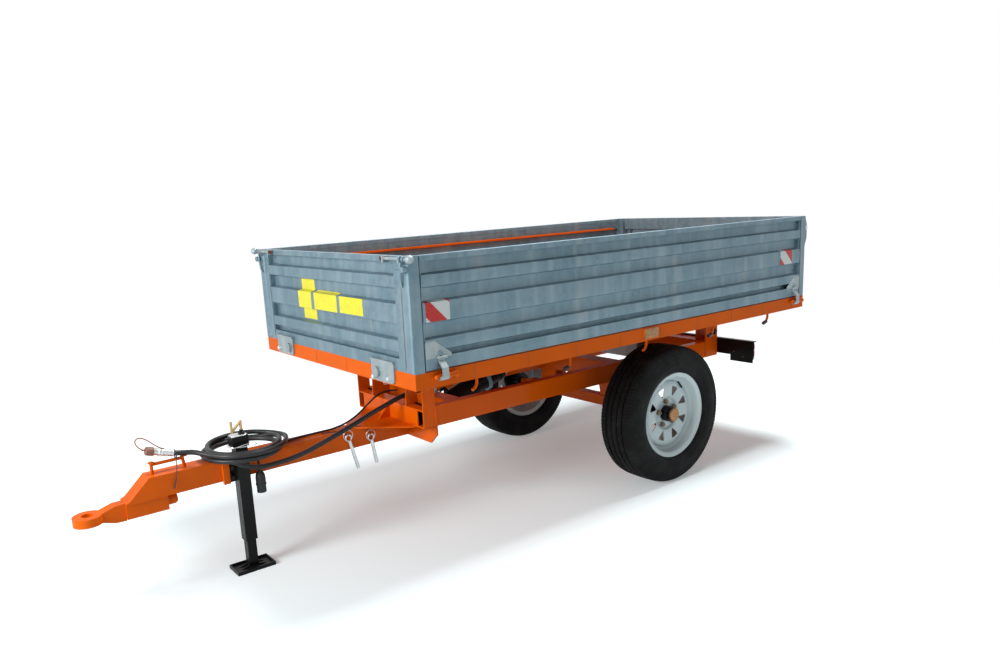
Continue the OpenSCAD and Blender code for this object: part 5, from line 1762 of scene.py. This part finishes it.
@dataclass
class JackTrim:
    """Head plate, bearing, spring wire and foot ribs of the screw jack."""

    layout: Layout
    x: float = 1.830
    y: float = 0.0685
    top: float = 0.520

    def build(self) -> None:
        """Dress the jack."""
        at = self.layout.at
        plate = Former("jack_head_plate", STEEL, "chassis", "plated_steel")
        outline = [at(self.x + a, self.y + b, self.top) for a, b in
                   ((-0.030, -0.016), (-0.022, -0.0225), (0.022, -0.0225), (0.032, -0.012),
                    (0.032, 0.012), (0.022, 0.0225), (-0.022, 0.0225), (-0.030, 0.016))]
        plate.slab(outline, (0.0, 0.0, 0.0035))
        plate.finished(0.0008)
        bearing = Former("jack_bearing", BLACK, "chassis", "black_paint")
        bearing.lathe(((0.0, 0.0), (0.0125, 0.0), (0.0125, 0.006), (0.0100, 0.0085), (0.0072, 0.009),
                       (0.0072, 0.016), (0.0, 0.016)), at(self.x - 0.014, self.y, self.top + 0.0035),
                      (0.0, 0.0, 1.0), 28)
        bearing.finished(0.0004)
        wire = Former("jack_spring_wire", STEEL, "chassis", "plated_steel")
        for lift, reach, lean in ((0.0, 0.004, 0.10), (0.006, 0.007, -0.12)):
            ring = []
            for k in range(40):
                a = 2.0 * math.pi * k / 40
                across = (0.031 + reach) * math.copysign(abs(math.cos(a)) ** 0.55, math.cos(a))
                aside = (0.024 + reach) * math.copysign(abs(math.sin(a)) ** 0.55, math.sin(a))
                ring.append(at(self.x + 0.001 + across, self.y + aside,
                               self.top - 0.040 + lift + lean * across))
            wire.wire(ring, 0.0014, 8, closed=True)
        tail = [at(self.x - 0.036, self.y + 0.026, self.top - 0.034),
                at(self.x - 0.048, self.y + 0.030, self.top - 0.030),
                at(self.x - 0.060, self.y + 0.024, self.top - 0.041),
                at(self.x - 0.052, self.y + 0.010, self.top - 0.048)]
        wire.wire(tail, 0.0014, 8)
        wire.finished()
        self.tube_details()

    def tube_details(self) -> None:
        """Add the weld beads of the tube, its lower lip and the foot's ribs."""
        at = self.layout.at
        lip = Former("jack_lip", BLACK, "chassis", "black_paint")
        half = 0.0225
        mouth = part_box("jack_tube")[0][2]
        for s in (-1.0, 1.0):
            lip.bead(at(self.x - half, self.y + s * half, mouth + 0.002),
                     at(self.x + half, self.y + s * half, mouth + 0.002), 0.0016)
            lip.bead(at(self.x + s * half, self.y - half, mouth + 0.002),
                     at(self.x + s * half, self.y + half, mouth + 0.002), 0.0016)
            lip.bead(at(self.x + s * 0.018, self.y - 0.0245, self.top - 0.120),
                     at(self.x + s * 0.018, self.y - 0.0245, self.top - 0.180), 0.0022)
        for z in (0.3615, 0.4015):
            lip.bolt(at(1.862, 0.0615, z), (0.0, 1.0, 0.0), 0.010)
        lip.finished()
        foot = Former("jack_foot_ribs", BLACK, "leg", "black_paint")
        for s in (-1.0, 1.0):
            for y in (-0.012, 0.012):
                outline = [at(self.x + s * 0.0175, self.y + y - 0.002, 0.006),
                           at(self.x + s * 0.052, self.y + y - 0.002, 0.006),
                           at(self.x + s * 0.0175, self.y + y - 0.002, 0.015)]
                foot.slab(outline, (0.0, 0.004, 0.0))
        foot.bead(at(self.x - 0.018, self.y + 0.018, 0.0065), at(self.x + 0.018, self.y + 0.018, 0.0065),
                  0.0025)
        foot.bead(at(self.x - 0.018, self.y - 0.018, 0.0065), at(self.x + 0.018, self.y - 0.018, 0.0065),
                  0.0025)
        foot.finished()


@dataclass
class TippingRam:
    """Gland, collar and fittings of the telescopic cylinder."""

    layout: Layout
    base: tuple[float, float] = (0.890, 0.415)
    lean: float = 19.4887
    barrel_end: float = 0.3721

    def along(self, distance: float, rise: float = 0.0, aside: float = 0.0) -> Point:
        """Give a place along the cylinder's axis, above it and beside it."""
        a = math.radians(self.lean)
        return self.layout.at(self.base[0] - distance * math.cos(a) + rise * math.sin(a), aside,
                              self.base[1] + distance * math.sin(a) + rise * math.cos(a))

    def build(self) -> None:
        """Dress the cylinder."""
        start = self.along(0.0)
        axis = tuple(b - a for a, b in zip(start, self.along(1.0)))
        rings = Former("ram_collar", ZINC, "barrel", "galvanised")
        e = self.barrel_end
        rings.lathe(((0.0485, e - 0.106), (0.0568, e - 0.106), (0.0580, e - 0.1045),
                     (0.0580, e - 0.0895), (0.0568, e - 0.088), (0.0485, e - 0.088)), start, axis, 56)
        rings.finished(0.0006)
        gland = Former("ram_gland", STEEL, "barrel", "plated_steel")
        gland.lathe(((0.0430, e - 0.002), (0.0505, e - 0.002), (0.0505, e + 0.003),
                     (0.0480, e + 0.0055), (0.0430, e + 0.0055)), start, axis, 56)
        gland.finished(0.0004)
        elbow = Former("ram_elbow", BLACK, "barrel", "black_paint")
        elbow.lathe(((0.0, 0.0), (0.0120, 0.0), (0.0120, 0.012), (0.0, 0.012)),
                    self.along(0.070, 0.046), tuple(b - a for a, b in zip(start, self.along(0.0, 1.0))),
                    6)
        elbow.wire([self.along(0.070, 0.054), self.along(0.070, 0.064), self.along(0.066, 0.069),
                    self.along(0.056, 0.071), self.along(0.040, 0.071)], 0.0075, 16)
        elbow.finished(0.0004)


@dataclass
class RearLamps:
    """The two rear clusters: black housing with a red, an amber and a clear field, and the board's bolts."""

    layout: Layout

    def build(self) -> None:
        """Make both clusters."""
        low, high = (Vector(c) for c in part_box("rear_lamps"))
        board_low, board_high = (Vector(c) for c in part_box("light_board"))
        width = 0.098
        for side in Side:
            middle = side.value * (high.y - width / 2.0)
            housing = Former(f"lamp_housing_{side.word}", PLASTIC, "chassis", "black_plastic")
            centre_z = (low.z + high.z) / 2.0
            housing.plate((high.x - 0.008, middle, centre_z), (0.016, width, high.z - low.z))
            housing.finished(0.002)
            fields = ((RED_LENS, 0.024, 0.030), (AMBER_LENS, -0.010, 0.034), (CLEAR_LENS, -0.034, 0.011))
            for number, (finish, lift, tall) in enumerate(fields, 1):
                lens = Former(f"lamp_lens_{side.word}_{number}", finish, "chassis", "red_lens")
                lens.plate((low.x + 0.010, middle, centre_z + lift), (0.018, width - 0.010, tall))
                lens.finished(0.003)
        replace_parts(bpy.data.objects["lamp_housing_left"], "rear_lamps")
        bolts = Former("light_board_bolts", RUST, "chassis", "plated_steel")
        for side in Side:
            for inward, lift in ((0.060, 0.028), (0.115, 0.052)):
                seat = (board_high.x, side.value * (board_high.y - inward), board_low.z + lift)
                bolts.bolt(seat, (1.0, 0.0, 0.0), 0.005, washer=False)
        bolts.finished(0.0003)


def dress_node(node: str, finish: Finish) -> None:
    """Give a carried-over node its finish.

    Args:
        node: The node's name.
        finish: What it wears.
    """
    thing = bpy.data.objects[node]
    if not thing.material_slots:
        thing.data.materials.append(finish.material())
    for place in thing.material_slots:
        place.material = finish.material()
    LOG.info("%s wears %s", node, finish.name)


def backdrop_share(tree: bpy.types.NodeTree) -> bpy.types.NodeSocket:
    """Say which rays see the white backdrop: those of the camera, of gloss and of glass.

    Args:
        tree: The node tree of the floor's material or of the world.

    Returns:
        A socket that is one for those rays and nought for the light itself.
    """
    path = tree.nodes.new("ShaderNodeLightPath")
    total = path.outputs["Is Camera Ray"]
    for ray in ("Is Glossy Ray", "Is Transmission Ray"):
        add = tree.nodes.new("ShaderNodeMath")
        add.operation = "ADD"
        add.use_clamp = True
        tree.links.new(total, add.inputs[0])
        tree.links.new(path.outputs[ray], add.inputs[1])
        total = add.outputs["Value"]
    return total


@dataclass
class Studio:
    """Pale floor, soft light and the camera of the photograph."""

    layout: Layout
    eye: Point = (2.8107, 2.8179, 1.3287)
    yaw: float = 233.9089
    pitch: float = 11.9934
    roll: float = -3.083
    focal_pixels: float = 793.08
    centre_pixels: tuple[float, float] = (460.22, 365.94)
    sensor: float = 36.0
    floor_reach: float = 14.0
    shade_reach: float = 1.75
    fade: float = 1.0
    lamps: tuple[tuple[str, Point, Point, float, float], ...] = (
        ("front", (6.0, 0.6, 2.6), (0.4, 0.0, 0.6), 2.6, 265.0),
        ("side", (0.8, 5.6, 3.0), (0.0, 0.0, 0.4), 4.5, 8.0),
        ("top", (-1.3, 0.1, 5.2), (0.0, 0.0, 0.0), 2.0, 360.0))

    def place_camera(self) -> None:
        """Put the camera where the photograph was taken."""
        yaw, pitch, roll = (math.radians(v) for v in (self.yaw, self.pitch, self.roll))
        ahead = Vector((math.cos(yaw) * math.cos(pitch), math.sin(yaw) * math.cos(pitch),
                        -math.sin(pitch)))
        right = ahead.cross(Vector((0.0, 0.0, 1.0))).normalized()
        up = right.cross(ahead)
        tilted = math.cos(roll) * right + math.sin(roll) * up
        upright = math.cos(roll) * up - math.sin(roll) * right
        turn = Matrix((tilted, upright, -ahead)).transposed().to_4x4()
        lens = bpy.data.cameras.new("camera")
        camera = bpy.data.objects.new("camera", lens)
        bpy.context.scene.collection.objects.link(camera)
        camera.matrix_world = Matrix.Translation(self.layout.at(*self.eye)) @ turn
        width, height = FRAME_PIXELS
        lens.sensor_width = self.sensor
        lens.lens = self.focal_pixels * self.sensor / width
        lens.shift_x = (width / 2.0 - self.centre_pixels[0]) / width
        lens.shift_y = (self.centre_pixels[1] - height / 2.0) / width
        lens.clip_end = 60.0
        bpy.context.scene.camera = camera

    def lay_floor(self) -> None:
        """Lay the pale floor: it takes the trailer's shadow and turns white further out."""
        mesh = bpy.data.meshes.new("studio_floor")
        reach = self.floor_reach
        mesh.from_pydata([(-reach, -reach, 0.0), (reach, -reach, 0.0), (reach, reach, 0.0),
                          (-reach, reach, 0.0)], [], [(0, 1, 2, 3)])
        floor = bpy.data.objects.new("studio_floor", mesh)
        bpy.context.scene.collection.objects.link(floor)
        shader = Shader("studio_floor")
        tree = shader.tree
        tree.nodes.remove(shader.surface)
        diffuse = tree.nodes.new("ShaderNodeBsdfDiffuse")
        diffuse.inputs["Color"].default_value = (0.80, 0.90, 0.92, 1.0)
        lit = tree.nodes.new("ShaderNodeEmission")
        lit.inputs["Color"].default_value = (1.0, 1.0, 1.0, 1.0)
        lit.inputs["Strength"].default_value = 0.25
        white = tree.nodes.new("ShaderNodeEmission")
        white.inputs["Color"].default_value = (1.0, 1.0, 1.0, 1.0)
        backdrop = backdrop_share(tree)
        away = tree.nodes.new("ShaderNodeVectorMath")
        away.operation = "LENGTH"
        shader.link(shader.stretched((0.62, 1.0, 1.0)), away.inputs[0])
        far = shader.between(away.outputs["Value"], 0.0, 1.0, self.shade_reach,
                             self.shade_reach + self.fade)
        seen = tree.nodes.new("ShaderNodeMath")
        seen.operation = "MULTIPLY"
        shader.link(backdrop, seen.inputs[0])
        shader.link(far, seen.inputs[1])
        nothing = tree.nodes.new("ShaderNodeEmission")
        nothing.inputs["Strength"].default_value = 0.0
        lift = tree.nodes.new("ShaderNodeMixShader")
        shader.link(backdrop, lift.inputs[0])
        shader.link(nothing.outputs["Emission"], lift.inputs[1])
        shader.link(lit.outputs["Emission"], lift.inputs[2])
        near = tree.nodes.new("ShaderNodeAddShader")
        shader.link(diffuse.outputs["BSDF"], near.inputs[0])
        shader.link(lift.outputs["Shader"], near.inputs[1])
        whole = tree.nodes.new("ShaderNodeMixShader")
        shader.link(seen.outputs["Value"], whole.inputs[0])
        shader.link(near.outputs["Shader"], whole.inputs[1])
        shader.link(white.outputs["Emission"], whole.inputs[2])
        shader.link(whole.outputs["Shader"], shader.output.inputs["Surface"])
        mesh.materials.append(shader.material)

    def light(self) -> None:
        """Hang the soft lamps and set the white surroundings."""
        for name, place, aim, size, power in self.lamps:
            lamp = bpy.data.lights.new(name, "AREA")
            lamp.shape = "DISK"
            lamp.size = size
            lamp.energy = power
            holder = bpy.data.objects.new(name, lamp)
            bpy.context.scene.collection.objects.link(holder)
            holder.location = self.layout.at(*place)
            aimed = Vector(aim) - Vector(place)
            holder.rotation_euler = aimed.to_track_quat("-Z", "Y").to_euler()
        world = bpy.data.worlds.new("studio")
        bpy.context.scene.world = world
        world.use_nodes = True
        tree = world.node_tree
        tree.nodes.clear()
        surround = tree.nodes.new("ShaderNodeBackground")
        surround.inputs["Color"].default_value = (0.93, 0.96, 1.0, 1.0)
        surround.inputs["Strength"].default_value = 0.20
        white = tree.nodes.new("ShaderNodeBackground")
        white.inputs["Color"].default_value = (1.0, 1.0, 1.0, 1.0)
        white.inputs["Strength"].default_value = 1.0
        mix = tree.nodes.new("ShaderNodeMixShader")
        tree.links.new(backdrop_share(tree), mix.inputs[0])
        tree.links.new(surround.outputs["Background"], mix.inputs[1])
        tree.links.new(white.outputs["Background"], mix.inputs[2])
        output = tree.nodes.new("ShaderNodeOutputWorld")
        tree.links.new(mix.outputs["Shader"], output.inputs["Surface"])
        bpy.context.scene.view_settings.view_transform = "Standard"


def main() -> None:
    """Set the camera and the cords, dress the trailer piece by piece, and light the studio."""
    logging.basicConfig(level=logging.INFO, format="%(name)s: %(message)s")
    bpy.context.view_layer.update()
    layout = Layout.from_frame()
    studio = Studio(layout)
    studio.place_camera()
    for cords in (HydraulicHose(layout), LightingCable(layout), PinLanyards(layout)):
        cords.build()
    for finish, nodes in NODE_FINISHES.items():
        for node in nodes:
            dress_node(node, finish)
    for side in Side:
        Tyre(side).build()
        Wheel(side).build()
        RibbedBoard(side).build()
        WheelTrim(side).build()
    for assembly in (Boards(layout), LatchTrim(layout), BedTrim(layout), ChassisTrim(layout),
                     JackTrim(layout), TippingRam(layout), RearLamps(layout)):
        assembly.build()
    studio.lay_floor()
    studio.light()


if __name__ == "__main__":
    main()
